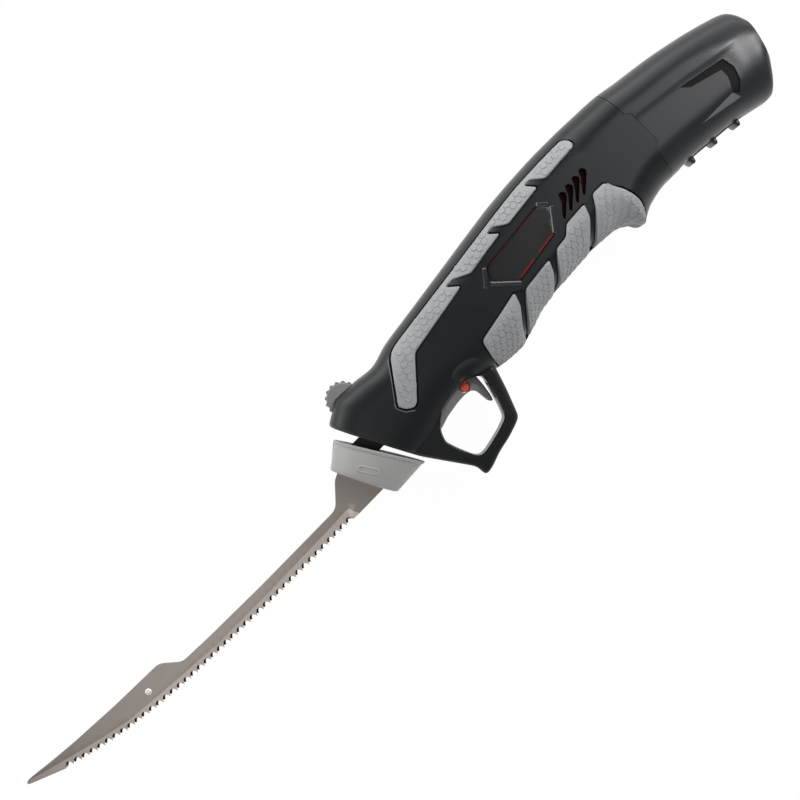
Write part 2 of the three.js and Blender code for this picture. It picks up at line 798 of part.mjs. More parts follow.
/** Ribs and seats inside the housing, on both sides of the middle plane. */
function housingRibs() {
  const inside = bodySolid(-WALL / 2);
  const both = (x, y, from) => [1, -1].map((side) => block(x, y, spanZ(side, from, REACH)));
  const rib = (x) => [x - RIB_HALF, x + RIB_HALF];
  const motorHole = motorAxisHole(MOTOR_RADIUS + GAP, ROUND);
  const motorSeats = MOTOR_SEATS.flatMap((place) =>
    both(rib(MOTOR_FRONT + place), [-REACH, REACH], 0).map((seat) => cut(seat, motorHole)));
  const frameSeats = FRAME_SEATS.flatMap((place) =>
    both(rib(FRAME_FRONT + place), [FRAME_LOW + SEAT_INSET, FRAME_HIGH - SEAT_INSET], FRAME_OUTSIDE + GAP));
  const terminalSeats = both(
    [TERMINAL.front + TERMINAL.seat, TERMINAL.rear - TERMINAL.seat],
    [TERMINAL.low + SEAT_INSET, TERMINAL.high - SEAT_INSET],
    TERMINAL.half + GAP);
  const lugOutside = WHEEL_AXLE[1] + WHEEL_LUG.wall;
  const wheelLugs = both(
    [WHEEL_CENTRE[0] - WHEEL_LUG.half, WHEEL_CENTRE[0] + WHEEL_LUG.half],
    [WHEEL_CENTRE[1] - WHEEL_LUG.below, REACH],
    WHEEL_HALF + GAP).map((lug) => lug.intersect(between(-lugOutside, lugOutside)));
  const [rockerBossX, rockerBossY] = ROCKER_PIVOT.map((middle) => [middle - ROCKER_EYE, middle + ROCKER_EYE]);
  const rockerBosses = both(rockerBossX, rockerBossY, ROCKER_HALF + GAP);
  const [collarFront, collarRear] = PLUG_COLLAR.map((length) => PLUG_CENTRE[0] - length);
  const plugCollar = cut(
    block([collarFront, collarRear], [-REACH, REACH], [-REACH, REACH]), plugSolid(-REACH, REACH, GAP));
  const ribs = [...motorSeats, ...frameSeats, ...terminalSeats, ...wheelLugs, ...rockerBosses, plugCollar];
  return join(...ribs.map((solid) => solid.intersect(inside)));
}

function bosses() {
  return join(...SCREW_PLACES.map((place) => roundZ(place, BOSS_RADIUS, -REACH, REACH, SMALL_ROUND)))
    .intersect(bodySolid(-WALL / 2));
}

function screwCutters(side) {
  return SCREW_PLACES.flatMap((place) => {
    const shank = roundZ(place, SCREW_SHANK + GAP, -REACH, SCREW_REACH + GAP, SMALL_ROUND);
    const head = roundZ(place, SCREW_HEAD[0] + GAP, -REACH, -SCREW_SEAT, SMALL_ROUND);
    return side > 0 ? [shank] : [shank, head];
  });
}

/** Both halves together, before they are parted. */
function housingWhole() {
  const fingerHole = prism(FINGER_HOLE, -REACH, REACH);
  const keptFloor = prism(grown(FINGER_HOLE, FINGER_HOLE_WALL), -REACH, REACH);
  const hollow = cut(SPACE, keptFloor);
  const shell = cut(join(BODY, guard()), hollow);
  const filled = join(shell, housingRibs(), bosses());
  const slotHalf = TRIGGER_HALF + TRIGGER_PLAY;
  const triggerSlot = block(
    [TRIGGER_SLOT[0], TRIGGER_SLOT[1]], [TRIGGER_SLOT[2], FRAME_LOW], [-slotHalf, slotHalf]);
  const mouth = block([0, MOUTH.rear], [MOUTH.low, MOUTH.high], [-MOUTH.half, MOUTH.half]);
  const wheelReach = WHEEL_RADIUS + 2 * WHEEL_BUMP + GAP;
  const wheelHalf = WHEEL_HALF + GAP;
  const wheelSlot = roundZ(WHEEL_CENTRE, wheelReach, -wheelHalf, wheelHalf, LARGE_ROUND);
  const pinHole = (place, [radius, half]) =>
    roundZ(place, radius + GAP, -half - GAP, half + GAP, SMALL_ROUND);
  const wheelAxle = pinHole(WHEEL_CENTRE, WHEEL_AXLE);
  const trunnions = pinHole(ROCKER_PIVOT, ROCKER_TRUNNION);
  const pin = pinHole(TRIGGER_PIVOT, TRIGGER_PIN);
  return cut(filled, fingerHole, triggerSlot, mouth, wheelSlot, wheelAxle, trunnions, pin, behindSeam(0));
}

function housingHalf(whole, side) {
  const half = whole.intersect(beside(side, PARTING));
  const pocketDepth = -PAD_DEPTH - GAP;
  const pockets = [GRIP_STRIP, ...FINGER_PADS].map((outline) =>
    skinPiece(grown(outline, GAP), pocketDepth, SKIN_CLEAR, side, PAD_MIDDLE - GAP));
  const badgeDepth = -BADGE_SUNK - BADGE_DEPTH - GAP;
  const badge = skinPiece(grown(BADGE_OUTLINE, GAP), badgeDepth, SKIN_CLEAR, side, PAD_MIDDLE);
  return cut(half, ...pockets, badge, ...ventCutters(side), ...screwCutters(side));
}

function gripPad(outline, side) {
  return skinPiece(outline, -PAD_DEPTH, PAD_PROUD, side, PAD_MIDDLE);
}

function badgePlate(side) {
  return skinPiece(BADGE_OUTLINE, -BADGE_SUNK - BADGE_DEPTH, -BADGE_SUNK, side, PAD_MIDDLE);
}

function housingScrew(place) {
  const under = -SCREW_SEAT - GAP;
  const shank = roundZ(place, SCREW_SHANK, under - SCREW_HEAD[1] / 2, SCREW_REACH, SMALL_ROUND);
  const head = roundZ(place, SCREW_HEAD[0], under - SCREW_HEAD[1], under, SMALL_ROUND);
  return join(shank, head);
}

/** Plate behind the nose wall, parallel to it, that wipes the tang carriers. */
function noseSeal() {
  const { spine, belly } = noseWallStation();
  const wallAt = (y) => lineAt(spine, belly, y) + 2 * GAP;
  const outline = [
    [wallAt(SEAL.high), SEAL.high],
    [wallAt(SEAL.low), SEAL.low],
    [wallAt(SEAL.low) + SEAL.thick, SEAL.low],
    [wallAt(SEAL.high) + SEAL.thick, SEAL.high],
  ];
  const mouth = block([0, REACH], [MOUTH.low, MOUTH.high], [-MOUTH.half, MOUTH.half]);
  return cut(prism(outline, -SEAL.half, SEAL.half), mouth);
}

// Drive train

function gearSection() {
  const pitch = (2 * Math.PI) / GEAR_TEETH;
  const root = GEAR_PITCH_RADIUS - TOOTH_DEDENDUM * GEAR_MODULE;
  const tip = GEAR_PITCH_RADIUS + TOOTH_ADDENDUM * GEAR_MODULE;
  const halfAt = (radius) =>
    pitch / 4 - (TOOTH_PLAY + (radius - GEAR_PITCH_RADIUS) * TOOTH_SLOPE) / GEAR_PITCH_RADIUS;
  return Array.from({ length: GEAR_TEETH }, (_, i) => {
    const centre = Math.PI / 2 + (i + 0.5) * pitch;
    return [
      [root, centre - halfAt(root)],
      [tip, centre - halfAt(tip)],
      [tip, centre + halfAt(tip)],
      [root, centre + halfAt(root)],
    ];
  }).flat();
}

function wormSection() {
  const root = WORM_PITCH_RADIUS - TOOTH_DEDENDUM * GEAR_MODULE;
  const tip = WORM_PITCH_RADIUS + TOOTH_ADDENDUM * GEAR_MODULE;
  const perLength = (2 * Math.PI) / WORM_LEAD;
  const halfAt = (radius) =>
    perLength * ((Math.PI * GEAR_MODULE) / 4 - TOOTH_PLAY - (radius - WORM_PITCH_RADIUS) * TOOTH_SLOPE);
  return Array.from({ length: WORM_STARTS }, (_, i) => {
    const centre = Math.PI + (2 * Math.PI * i) / WORM_STARTS;
    return [
      [root, centre - halfAt(root)],
      [tip, centre - halfAt(tip)],
      [tip, centre + halfAt(tip)],
      [root, centre + halfAt(root)],
      [root, centre + Math.PI / WORM_STARTS],
    ];
  }).flat();
}

/** Worm on the motor shaft, turned so that a thread meets a gap of the gear. */
function worm() {
  const twist = (2 * Math.PI) / WORM_LEAD;
  const steps = Math.ceil((WORM_LENGTH / WORM_LEAD) * WORM_STEPS_PER_TURN);
  const half = WORM_LENGTH / 2;
  const bore = roundZ([0, 0], SHAFT_RADIUS + GAP, -REACH, REACH, SMALL_ROUND);
  const geometry = geometryOf(cut(twisted(wormSection(), -half, half, twist, steps), bore));
  const turn = new THREE.Matrix4().makeBasis(
    new THREE.Vector3(0, 1, 0), new THREE.Vector3(0, 0, 1), new THREE.Vector3(1, 0, 0));
  geometry.applyMatrix4(turn).translate(CRANK_CENTRE[0], SHAFT_HEIGHT, 0);
  return solidOf(geometry);
}

function crankGear() {
  const lean = WORM_LEAD / (2 * Math.PI * WORM_PITCH_RADIUS);
  const half = GEAR_WIDTH / 2;
  const geometry = geometryOf(twisted(gearSection(), -half, half, lean / GEAR_PITCH_RADIUS, 1));
  const toothed = solidOf(geometry.translate(...CRANK_CENTRE, 0));
  const disc = (side) => {
    const centre = [CRANK_CENTRE[0], CRANK_CENTRE[1] + side * CRANK_THROW];
    return roundZ(centre, CRANK_DISC, ...spanZ(side, 0, half + CRANK_DISC_WIDTH));
  };
  const bore = roundZ(CRANK_CENTRE, CRANK_BORE, -REACH, REACH, SMALL_ROUND);
  return cut(join(toothed, disc(1), disc(-1)), bore);
}

function crankAxle() {
  return roundZ(CRANK_CENTRE, CRANK_AXLE_RADIUS, -FRAME_OUTSIDE, FRAME_OUTSIDE, SMALL_ROUND);
}

function gearFrame() {
  const plateFront = MOTOR_FRONT - GAP - MOTOR_PLATE[0];
  const plateRear = MOTOR_FRONT - GAP;
  const cheeks = [1, -1].map((side) =>
    block([FRAME_FRONT, plateRear], [FRAME_LOW, FRAME_HIGH], spanZ(side, FRAME_INSIDE, FRAME_OUTSIDE)));
  const wide = [-FRAME_OUTSIDE, FRAME_OUTSIDE];
  const bearing = block([FRAME_FRONT, FRAME_FRONT + FRAME_BLOCK[0]], [FRAME_BLOCK[1], FRAME_HIGH], wide);
  const plate = block([plateFront, plateRear], [FRAME_LOW, MOTOR_PLATE[1]], wide);
  const shaftHole = motorAxisHole(SHAFT_RADIUS + GAP, SMALL_ROUND);
  const axleHole = roundZ(CRANK_CENTRE, CRANK_BORE, -REACH, REACH, SMALL_ROUND);
  return cut(join(...cheeks, bearing, plate), shaftHole, axleHole);
}

function driveBar(side) {
  const [x, y] = CRANK_CENTRE;
  const z = spanZ(side, BAR_INNER, BAR_OUTER);
  const rimX = YOKE_HALF_X + YOKE_RIM;
  const rimY = YOKE_HALF_Y + YOKE_RIM;
  const bar = block([BAR_FRONT, x], [BAR_LOW, BAR_HIGH], z);
  const yoke = block([x - rimX, x + rimX], [y - rimY, y + rimY], z);
  const window = block(
    [x - YOKE_HALF_X, x + YOKE_HALF_X], [y - YOKE_HALF_Y, y + YOKE_HALF_Y], [-REACH, REACH]);
  return cut(join(bar, yoke), window);
}

/** Spring leaf on a drive bar, whose tooth sits in the carrier's notch. */
function bladeCatch(side) {
  const rear = CRANK_CENTRE[0] - YOKE_HALF_X - YOKE_RIM - GAP;
  const low = BAR_HIGH + GAP;
  const inner = BLADE_HALF_GAP + BLADE_THICK + 1.5 * GAP;
  const leaf = block([CATCH_FRONT, rear], [low, low + CATCH_THICK], spanZ(side, inner, BAR_OUTER - GAP));
  const [place, length, depth] = CATCH_TOOTH;
  const tooth = block(
    [place, place + length], [low - depth, low + CATCH_THICK / 2], spanZ(side, inner, CARRIER_TONGUE - GAP));
  return join(leaf, tooth);
}

function motorCan() {
  const inner = MOTOR_RADIUS - MOTOR_CAN_WALL;
  const hole = SHAFT_RADIUS + GAP;
  return turnedX([
    [MOTOR_FRONT, hole],
    [MOTOR_FRONT, MOTOR_RADIUS],
    [MOTOR_REAR, MOTOR_RADIUS],
    [MOTOR_REAR, inner],
    [MOTOR_FRONT + MOTOR_CAN_WALL, inner],
    [MOTOR_FRONT + MOTOR_CAN_WALL, hole],
    [MOTOR_FRONT, hole],
  ], LARGE_ROUND);
}

function motorEndBell() {
  const start = MOTOR_REAR + GAP;
  const hole = SHAFT_RADIUS + GAP;
  return turnedX([
    [start, hole],
    [start, MOTOR_RADIUS],
    [start + END_BELL_LENGTH / 2, MOTOR_RADIUS],
    [start + END_BELL_LENGTH, MOTOR_RADIUS / 2],
    [start + END_BELL_LENGTH, hole],
    [start, hole],
  ]);
}

function magnetRadii() {
  const outer = MOTOR_RADIUS - MOTOR_CAN_WALL - GAP;
  return [outer - MOTOR_MAGNET_THICK, outer];
}

/** Length of the armature's stack along the shaft. */
function stackEnds() {
  const middle = (MOTOR_FRONT + MOTOR_REAR) / 2;
  return [middle - MOTOR_STACK_LENGTH / 2, middle + MOTOR_STACK_LENGTH / 2];
}

function motorMagnet(side) {
  const [inner, outer] = magnetRadii();
  const [start, end] = stackEnds();
  const ring = turnedX(
    [[start, inner], [start, outer], [end, outer], [end, inner], [start, inner]], LARGE_ROUND);
  const height = [SHAFT_HEIGHT - MOTOR_MAGNET_HALF, SHAFT_HEIGHT + MOTOR_MAGNET_HALF];
  return ring.intersect(block([0, FAR], height, spanZ(side, 0, REACH)));
}

function armature() {
  const radius = magnetRadii()[0] - MOTOR_AIR_GAP;
  const bore = SHAFT_RADIUS + GAP;
  const [start, end] = stackEnds();
  return turnedX([[start, bore], [start, radius], [end, radius], [end, bore], [start, bore]]);
}

function motorShaft() {
  const start = FRAME_FRONT + SHAFT_LEAD;
  return turnedX([[start, 0], [start, SHAFT_RADIUS], [SHAFT_END, SHAFT_RADIUS], [SHAFT_END, 0]], SMALL_ROUND);
}

// Blades

/** Scalloped edge, from the tip to the heel. */
function toothedEdge() {
  const line = new THREE.CatmullRomCurve3(TOOTH_LINE.map(([x, y]) => new THREE.Vector3(x, y, 0)));
  const points = [];
  for (let i = 0; i < TOOTH_COUNT; i += 1) {
    const tip = line.getPointAt(i / (TOOTH_COUNT - 1));
    points.push([tip.x, tip.y]);
    if (i + 1 === TOOTH_COUNT) break;
    for (const share of GULLET_SHARES) {
      const place = line.getPointAt((i + share) / (TOOTH_COUNT - 1));
      points.push([place.x, place.y + GULLET_DEPTH]);
    }
  }
  return points;
}

/** Wedge that grinds the bevel on the outer face of a blade. */
function bevelCutter(side) {
  const face = side * (BLADE_HALF_GAP + BLADE_THICK);
  const edge = side * (BLADE_HALF_GAP + EDGE_THICK);
  const above = face + side * BLADE_THICK;
  const rings = BEVEL_LINE.map(([x, y], i) => {
    const [ex, ey] = EDGE_LINE[i];
    return [
      new THREE.Vector3(x, y, face),
      new THREE.Vector3(ex, ey, edge),
      new THREE.Vector3(ex, ey, above),
      new THREE.Vector3(x, y, above),
    ];
  });
  return loft(rings);
}

/** One blade. The left one holds the rivet, and the right one has a slot for it. */
function blade(side) {
  const z = spanZ(side, BLADE_HALF_GAP, BLADE_HALF_GAP + BLADE_THICK);
  const plate = prism([...BLADE_SPINE, ...toothedEdge()], ...z);
  const ground = cut(plate, bevelCutter(side));
  const radius = RIVET_SHANK + GAP;
  const hole = (place) => roundZ([place, RIVET_CENTRE[1]], radius, -REACH, REACH, SMALL_ROUND);
  if (side > 0) return cut(ground, hole(RIVET_CENTRE[0]));
  const ends = [RIVET_CENTRE[0] - 2 * CRANK_THROW, RIVET_CENTRE[0] + 2 * CRANK_THROW];
  const slot = block(ends, [RIVET_CENTRE[1] - radius, RIVET_CENTRE[1] + radius], [-REACH, REACH]);
  return cut(ground, ...ends.map(hole), slot);
}

function bladeRivet() {
  const face = BLADE_HALF_GAP + BLADE_THICK + GAP;
  const [radius, height] = RIVET_HEAD;
  const reach = face + height / 2;
  const shank = roundZ(RIVET_CENTRE, RIVET_SHANK, -reach, reach, SMALL_ROUND);
  const heads = [1, -1].map((side) => roundZ(RIVET_CENTRE, radius, ...spanZ(side, face, face + height)));
  return join(shank, ...heads);
}

// Collar and tang carriers

function collarRing(share, shrink) {
  const high = mix(COLLAR_FRONT[0], COLLAR_REAR[0], share);
  const low = mix(COLLAR_FRONT[1], COLLAR_REAR[1], share);
  const half = COLLAR_HALF[0] + (COLLAR_HALF[1] - COLLAR_HALF[0]) * Math.sqrt(Math.max(share, 0));
  return ovalRing(pushed(high, low, -shrink), pushed(low, high, -shrink), half - shrink, COLLAR_POWER);
}

/** Share of the collar's length that its floor takes. */
function collarFloorShare() {
  const length = (COLLAR_REAR[0][0] + COLLAR_REAR[1][0] - COLLAR_FRONT[0][0] - COLLAR_FRONT[1][0]) / 2;
  return COLLAR_FLOOR / length;
}

function collarHalf(side) {
  const floor = collarFloorShare();
  const shell = loft(COLLAR_SHARES.map((share) => collarRing(share, 0)));
  const spaceShares = [floor, ...COLLAR_SHARES.filter((share) => share > floor && share < 1), COLLAR_PAST];
  const space = loft(spaceShares.map((share) => collarRing(share, COLLAR_WALL)));
  const bladeSlot = BLADE_HALF_GAP + BLADE_THICK + GAP;
  const pocket = block([-REACH, REACH], [HEEL_LOW - GAP, TANG.high + GAP], [-bladeSlot, bladeSlot]);
  const half = cut(shell, space, pocket).intersect(beside(side, COLLAR_PARTING));
  const [radius, length] = PILL_SIZE;
  const pill = new THREE.CapsuleGeometry(radius, length, 3, 8).rotateZ(PILL_LEAN + Math.PI / 2);
  const height = (COLLAR_HALF[0] + COLLAR_HALF[1]) / 2 + radius;
  return join(half, solidOf(pill.translate(...PILL_CENTRE, side * height)));
}

/** Black neck moulded on the blade's tang, with a tongue that the drive bar laps. */
function tangCarrier(side) {
  const floor = collarFloorShare();
  const high = mix(COLLAR_FRONT[0], COLLAR_REAR[0], floor);
  const low = mix(COLLAR_FRONT[1], COLLAR_REAR[1], floor);
  const front = lineAt(high, low, BAR_LOW) + 2 * GAP;
  const inner = BLADE_HALF_GAP + BLADE_THICK + GAP;
  const body = block([front, TANG.rear + GAP], [BAR_LOW, BAR_HIGH], spanZ(side, inner, CARRIER_HALF));
  const [place, length, depth] = CATCH_TOOTH;
  const notch = block(
    [place - 2 * GAP, place + length + 2 * GAP], [BAR_HIGH - depth - GAP, REACH], [-REACH, REACH]);
  const step = block([BAR_FRONT - 2 * GAP, REACH], [-REACH, REACH], spanZ(side, CARRIER_TONGUE, REACH));
  return cut(body, notch, step);
}

// Trigger

function trigger() {
  const lever = join(
    prism(TRIGGER_OUTLINE, -TRIGGER_HALF, TRIGGER_HALF),
    roundZ(TRIGGER_PIVOT, TRIGGER_BOSS, -TRIGGER_HALF, TRIGGER_HALF));
  const pin = roundZ(TRIGGER_PIVOT, TRIGGER_PIN[0] + GAP, -REACH, REACH, SMALL_ROUND);
  const lock = roundZ(LOCK_CENTRE, LOCK_RADIUS + GAP, -REACH, REACH);
  const pocketRadius = SPRING.radius + SPRING.wire + GAP;
  const pocket = roundY(SPRING.place, pocketRadius, TRIGGER_TOP - SPRING.pocket, REACH, SMALL_ROUND);
  return cut(lever, pin, lock, pocket);
}

function triggerPin() {
  return roundZ(TRIGGER_PIVOT, TRIGGER_PIN[0], -TRIGGER_PIN[1], TRIGGER_PIN[1], SMALL_ROUND);
}

/** Cross bolt in the trigger, flush with its near side. */
function lockButton() {
  const high = TRIGGER_HALF;
  const low = LOCK_TRAVEL - TRIGGER_HALF;
  const profile = [
    [0, low],
    [LOCK_RADIUS - LOCK_CHAMFER, low],
    [LOCK_RADIUS, low + LOCK_CHAMFER],
    [LOCK_RADIUS, high - LOCK_CHAMFER],
    [LOCK_RADIUS - LOCK_CHAMFER, high],
    [0, high],
  ];
  const points = profile.map(([radius, along]) => new THREE.Vector2(radius, along));
  const geometry = new THREE.LatheGeometry(points, ROUND).rotateX(Math.PI / 2);
  return solidOf(geometry.translate(...LOCK_CENTRE, 0));
}

/** Switch with a button underneath, and lugs that hold the lever's pin. */
function triggerSwitch() {
  const half = FRAME_INSIDE - GAP;
  const body = block([SWITCH.front, SWITCH.rear], [SWITCH.low, SWITCH.high], [-half, half]);
  const { near, far } = SWITCH_LEVER;
  const { place, radius, reach } = SWITCH_BUTTON;
  const button = roundY(place, radius, SWITCH.low - reach, SWITCH.high, SMALL_ROUND)
    .translate([0, 0, (near + far) / 2]);
  const [x, y] = SWITCH_PIVOT;
  const inner = near - GAP;
  const outer = far + GAP;
  const lugs = [[inner - SWITCH_LUG.thick, inner], [outer, outer + SWITCH_LUG.thick]].map((z) =>
    block([x - SWITCH_LUG.half, x + SWITCH_LUG.half], [y - SWITCH_LUG.half, SWITCH.high], z));
  const pinEnds = [inner - SWITCH_LUG.thick, outer + SWITCH_LUG.thick];
  const pin = roundZ(SWITCH_PIVOT, SWITCH_LUG.pin, ...pinEnds, SMALL_ROUND);
  return join(body, button, ...lugs, pin);
}

/** Lever under the switch, whose foot rests over the trigger. */
function switchLever() {
  const { tip, drop, thick, eye, foot, near, far } = SWITCH_LEVER;
  const [x, y] = SWITCH_PIVOT;
  const arm = prism([
    [tip, y - drop - thick / 2],
    [x, y - thick / 2],
    [x, y + thick / 2],
    [tip, y - drop + thick / 2],
  ], near, far);
  const ball = block(
    [tip - foot / 2, tip + foot / 2], [TRIGGER_TOP + GAP, y - drop + thick / 2], [near, far]);
  const ring = roundZ(SWITCH_PIVOT, eye, near, far, SMALL_ROUND);
  const hole = roundZ(SWITCH_PIVOT, SWITCH_LUG.pin + GAP, -REACH, REACH, SMALL_ROUND);
  return cut(join(arm, ball, ring), hole);
}

/** Return spring between the trigger's pocket and the underside of the switch. */
function triggerSpring() {
  const low = TRIGGER_TOP - SPRING.pocket + GAP + SPRING.wire;
  const high = SWITCH.low - GAP - SPRING.wire;
  const steps = SPRING.turns * SPRING.steps;
  const points = Array.from({ length: steps + 1 }, (_, i) => {
    const angle = (2 * Math.PI * i) / SPRING.steps;
    const y = low + ((high - low) * i) / steps;
    return new THREE.Vector3(
      SPRING.place + SPRING.radius * Math.cos(angle), y, SPRING.radius * Math.sin(angle));
  });
  const section = shapeOf(Array.from({ length: SPRING.sides }, (_, i) => {
    const angle = (2 * Math.PI * i) / SPRING.sides;
    return [SPRING.wire * Math.cos(angle), SPRING.wire * Math.sin(angle)];
  }));
  const path = new THREE.CatmullRomCurve3(points);
  return solidOf(new THREE.ExtrudeGeometry(section, { steps, extrudePath: path }));
}

// Release wheel and its rocker

/** Knurled wheel whose hidden side is a cam that rises as the wheel turns. */
function releaseWheel() {
  const steps = WHEEL_BUMPS * WHEEL_POINTS_PER_BUMP;
  const radiusAt = (angle) => {
    const turned = THREE.MathUtils.euclideanModulo(angle + 1.5 * Math.PI, 2 * Math.PI) - Math.PI;
    const onCam = turned > -WHEEL_CAM_ROOM && turned < WHEEL_TURN + WHEEL_CAM_ROOM;
    const rise = WHEEL_LIFT * THREE.MathUtils.clamp(turned / WHEEL_TURN, 0, 1);
    return onCam ? WHEEL_CAM + rise : WHEEL_RADIUS + WHEEL_BUMP * Math.cos(WHEEL_BUMPS * angle);
  };
  const outline = Array.from({ length: steps }, (_, i) => {
    const angle = (2 * Math.PI * i) / steps;
    const radius = radiusAt(angle);
    return [WHEEL_CENTRE[0] + radius * Math.cos(angle), WHEEL_CENTRE[1] + radius * Math.sin(angle)];
  });
  const axle = roundZ(WHEEL_CENTRE, WHEEL_AXLE[0], -WHEEL_AXLE[1], WHEEL_AXLE[1], SMALL_ROUND);
  return join(prism(outline, -WHEEL_HALF, WHEEL_HALF), axle);
}

/** Rocker under the cam, whose foot spans both blade catches. */
function releaseRocker() {
  const top = WHEEL_CENTRE[1] - WHEEL_CAM - GAP;
  const across = (half) => [-half, half];
  const [x, y] = ROCKER_PIVOT;
  const pad = block(ROCKER_PAD, [top - ROCKER_PAD_THICK, top], across(ROCKER_PAD_HALF));
  const stem = block(ROCKER_STEM, [ROCKER_FOOT, top], across(ROCKER_HALF));
  const foot = block(ROCKER_STEM, [ROCKER_FOOT, ROCKER_FOOT + ROCKER_PAD_THICK], across(BAR_OUTER));
  const arm = prism([
    [ROCKER_STEM[0], ROCKER_ARM[0]],
    [x, y - ROCKER_EYE],
    [x, y + ROCKER_EYE],
    [ROCKER_STEM[0], ROCKER_ARM[1]],
  ], ...across(ROCKER_HALF));
  const eye = roundZ(ROCKER_PIVOT, ROCKER_EYE, -ROCKER_HALF, ROCKER_HALF);
  const [radius, half] = ROCKER_TRUNNION;
  const trunnion = roundZ(ROCKER_PIVOT, radius, ...across(half), SMALL_ROUND);
  return join(pad, stem, foot, arm, eye, trunnion);
}

// Battery and terminals

function batteryCase() {
  const shell = cut(BODY.intersect(behindSeam(GAP)), SPACE);
  const grooves = [1, -1].map((side) =>
    skinPiece(LABEL_GROOVE, -LABEL_DEPTH, SKIN_CLEAR, side, FLAT_HALF / 2));
  return cut(shell, ...grooves, latchPlate(GAP, LATCH.travel, LATCH.open));
}

/** Height of the belly of the battery at a place along it. */
function bellyAt(x) {
  const line = [HANDLE_STATIONS.at(-1), ...BATTERY_STATIONS].map(({ belly }) => belly);
  const next = 1 + line.slice(1, -1).filter(([place]) => place <= x).length;
  const [a, b] = [line[next - 1], line[next]];
  return a[1] + ((b[1] - a[1]) * (x - a[0])) / (b[0] - a[0]);
}

/** Plate of the battery's release, or its pocket: grown, with room to slide and open below. */
function latchPlate(grow, room, open) {
  const front = LATCH.front - grow - room;
  const rear = LATCH_REAR + grow;
  const level = (x) => bellyAt(x) + LATCH.pocket;
  const outline = [
    [front, level(LATCH.front) + grow],
    [rear, level(LATCH_REAR) + grow],
    [rear, level(LATCH_REAR) - LATCH.thick - open],
    [front, level(LATCH.front) - LATCH.thick - open],
  ];
  const half = LATCH.half + grow;
  return prism(outline, -half, half);
}

/** Release slide under the battery, with its three fins. */
function batteryLatch() {
  const fins = LATCH_FINS.map((place) => {
    const x = LATCH.front + place;
    const foot = bellyAt(x);
    return prism([
      [x - FIN_SIZE[0] / 2, foot + LATCH.pocket / 2],
      [x + FIN_SIZE[0] / 2, foot + LATCH.pocket / 2],
      [x + FIN_SIZE[0] / 4, foot - FIN_SIZE[1]],
      [x, foot - FIN_SIZE[1]],
    ], -LATCH.half, LATCH.half);
  });
  return join(latchPlate(0, 0, 0), ...fins);
}

/** Front of the battery: the plate that closes its case and the hollow plug in front of it. */
function batteryFront() {
  const flangeSpan = block(FLANGE, [-REACH, REACH], [-REACH, REACH]);
  const flange = bodySolid(-WALL - GAP).intersect(flangeSpan);
  const plug = plugSolid(-PLUG_FRONT, PLUG_LAP, 0);
  const hollow = plugSolid(-PLUG_FRONT + PLUG_WALL, REACH, -PLUG_WALL);
  const slots = [1, -1].map((side) => {
    const z = (side * TAB.apart) / 2;
    const halfHeight = TAB.height / 2 + 2 * GAP;
    const halfThick = TAB.thick / 2 + 2 * GAP;
    return block(
      [0, TERMINAL.rear + TAB.length + TAB.room],
      [TERMINAL_MIDDLE - halfHeight, TERMINAL_MIDDLE + halfHeight],
      [z - halfThick, z + halfThick]);
  });
  return cut(join(flange, plug), hollow, ...slots);
}

function batteryCell(index) {
  const angle = Math.PI / 2 + (2 * Math.PI * index) / 3;
  const spread = (2 * CELL_RADIUS + GAP) / Math.sqrt(3);
  const geometry = new THREE.CylinderGeometry(CELL_RADIUS, CELL_RADIUS, CELL_LENGTH, ROUND);
  geometry.rotateZ(-Math.PI / 2).translate(0, spread * Math.sin(angle), spread * Math.cos(angle));
  const halfLength = (CELL_LENGTH / 2) * Math.cos(CELL_LEAN);
  const middle = CELL_START + halfLength + spread * Math.abs(Math.sin(CELL_LEAN));
  return solidOf(geometry.rotateZ(CELL_LEAN).translate(middle, CELL_MIDDLE, 0));
}

/** Protection board inside the plug. */
function batteryBoard() {
  const start = TERMINAL.rear + TAB.length + TAB.board - PLUG_CENTRE[0];
  return plugSolid(start, start + BOARD_THICK, -PLUG_WALL - GAP);
}

function terminalBlock() {
  const body = block(
    [TERMINAL.front, TERMINAL.rear], [TERMINAL.low, TERMINAL.high], [-TERMINAL.half, TERMINAL.half]);
  const tabs = [1, -1].map((side) => {
    const z = (side * TAB.apart) / 2;
    return block(
      [TERMINAL.rear - TAB.root, TERMINAL.rear + TAB.length],
      [TERMINAL_MIDDLE - TAB.height / 2, TERMINAL_MIDDLE + TAB.height / 2],
      [z - TAB.thick / 2, z + TAB.thick / 2]);
  });
  return join(body, ...tabs);
}

// Assembly

const knife = new THREE.Group();

function add(name, solid, finish) {
  const mesh = new THREE.Mesh(geometryOf(solid), new THREE.MeshStandardMaterial(finish));
  mesh.name = name;
  knife.add(mesh);
}

const housing = housingWhole();
for (const [name, side] of Object.entries(SIDES)) {
  add(`${name}_housing`, housingHalf(housing, side), FINISH.black);
  add(`${name}_grip_strip`, gripPad(GRIP_STRIP, side), FINISH.grip);
  FINGER_PADS.forEach((outline, i) => {
    add(`${name}_finger_pad_${i + 1}`, gripPad(outline, side), FINISH.grip);
  });
  add(`${name}_badge_plate`, badgePlate(side), FINISH.black);
  add(`${name}_drive_bar`, driveBar(side), FINISH.nylon);
  add(`${name}_blade_catch`, bladeCatch(side), FINISH.steel);
  add(`${name}_blade`, blade(side), FINISH.blade);
  add(`${name}_collar`, collarHalf(side), FINISH.silver);
  add(`${name}_tang_carrier`, tangCarrier(side), FINISH.black);
  add(`${name}_motor_magnet`, motorMagnet(side), FINISH.magnet);
}
SCREW_PLACES.forEach((place, i) => add(`housing_screw_${i + 1}`, housingScrew(place), FINISH.steel));
add('nose_seal', noseSeal(), FINISH.black);
add('gear_frame', gearFrame(), FINISH.steel);
add('crank_axle', crankAxle(), FINISH.steel);
add('crank_gear', crankGear(), FINISH.nylon);
add('worm', worm(), FINISH.brass);
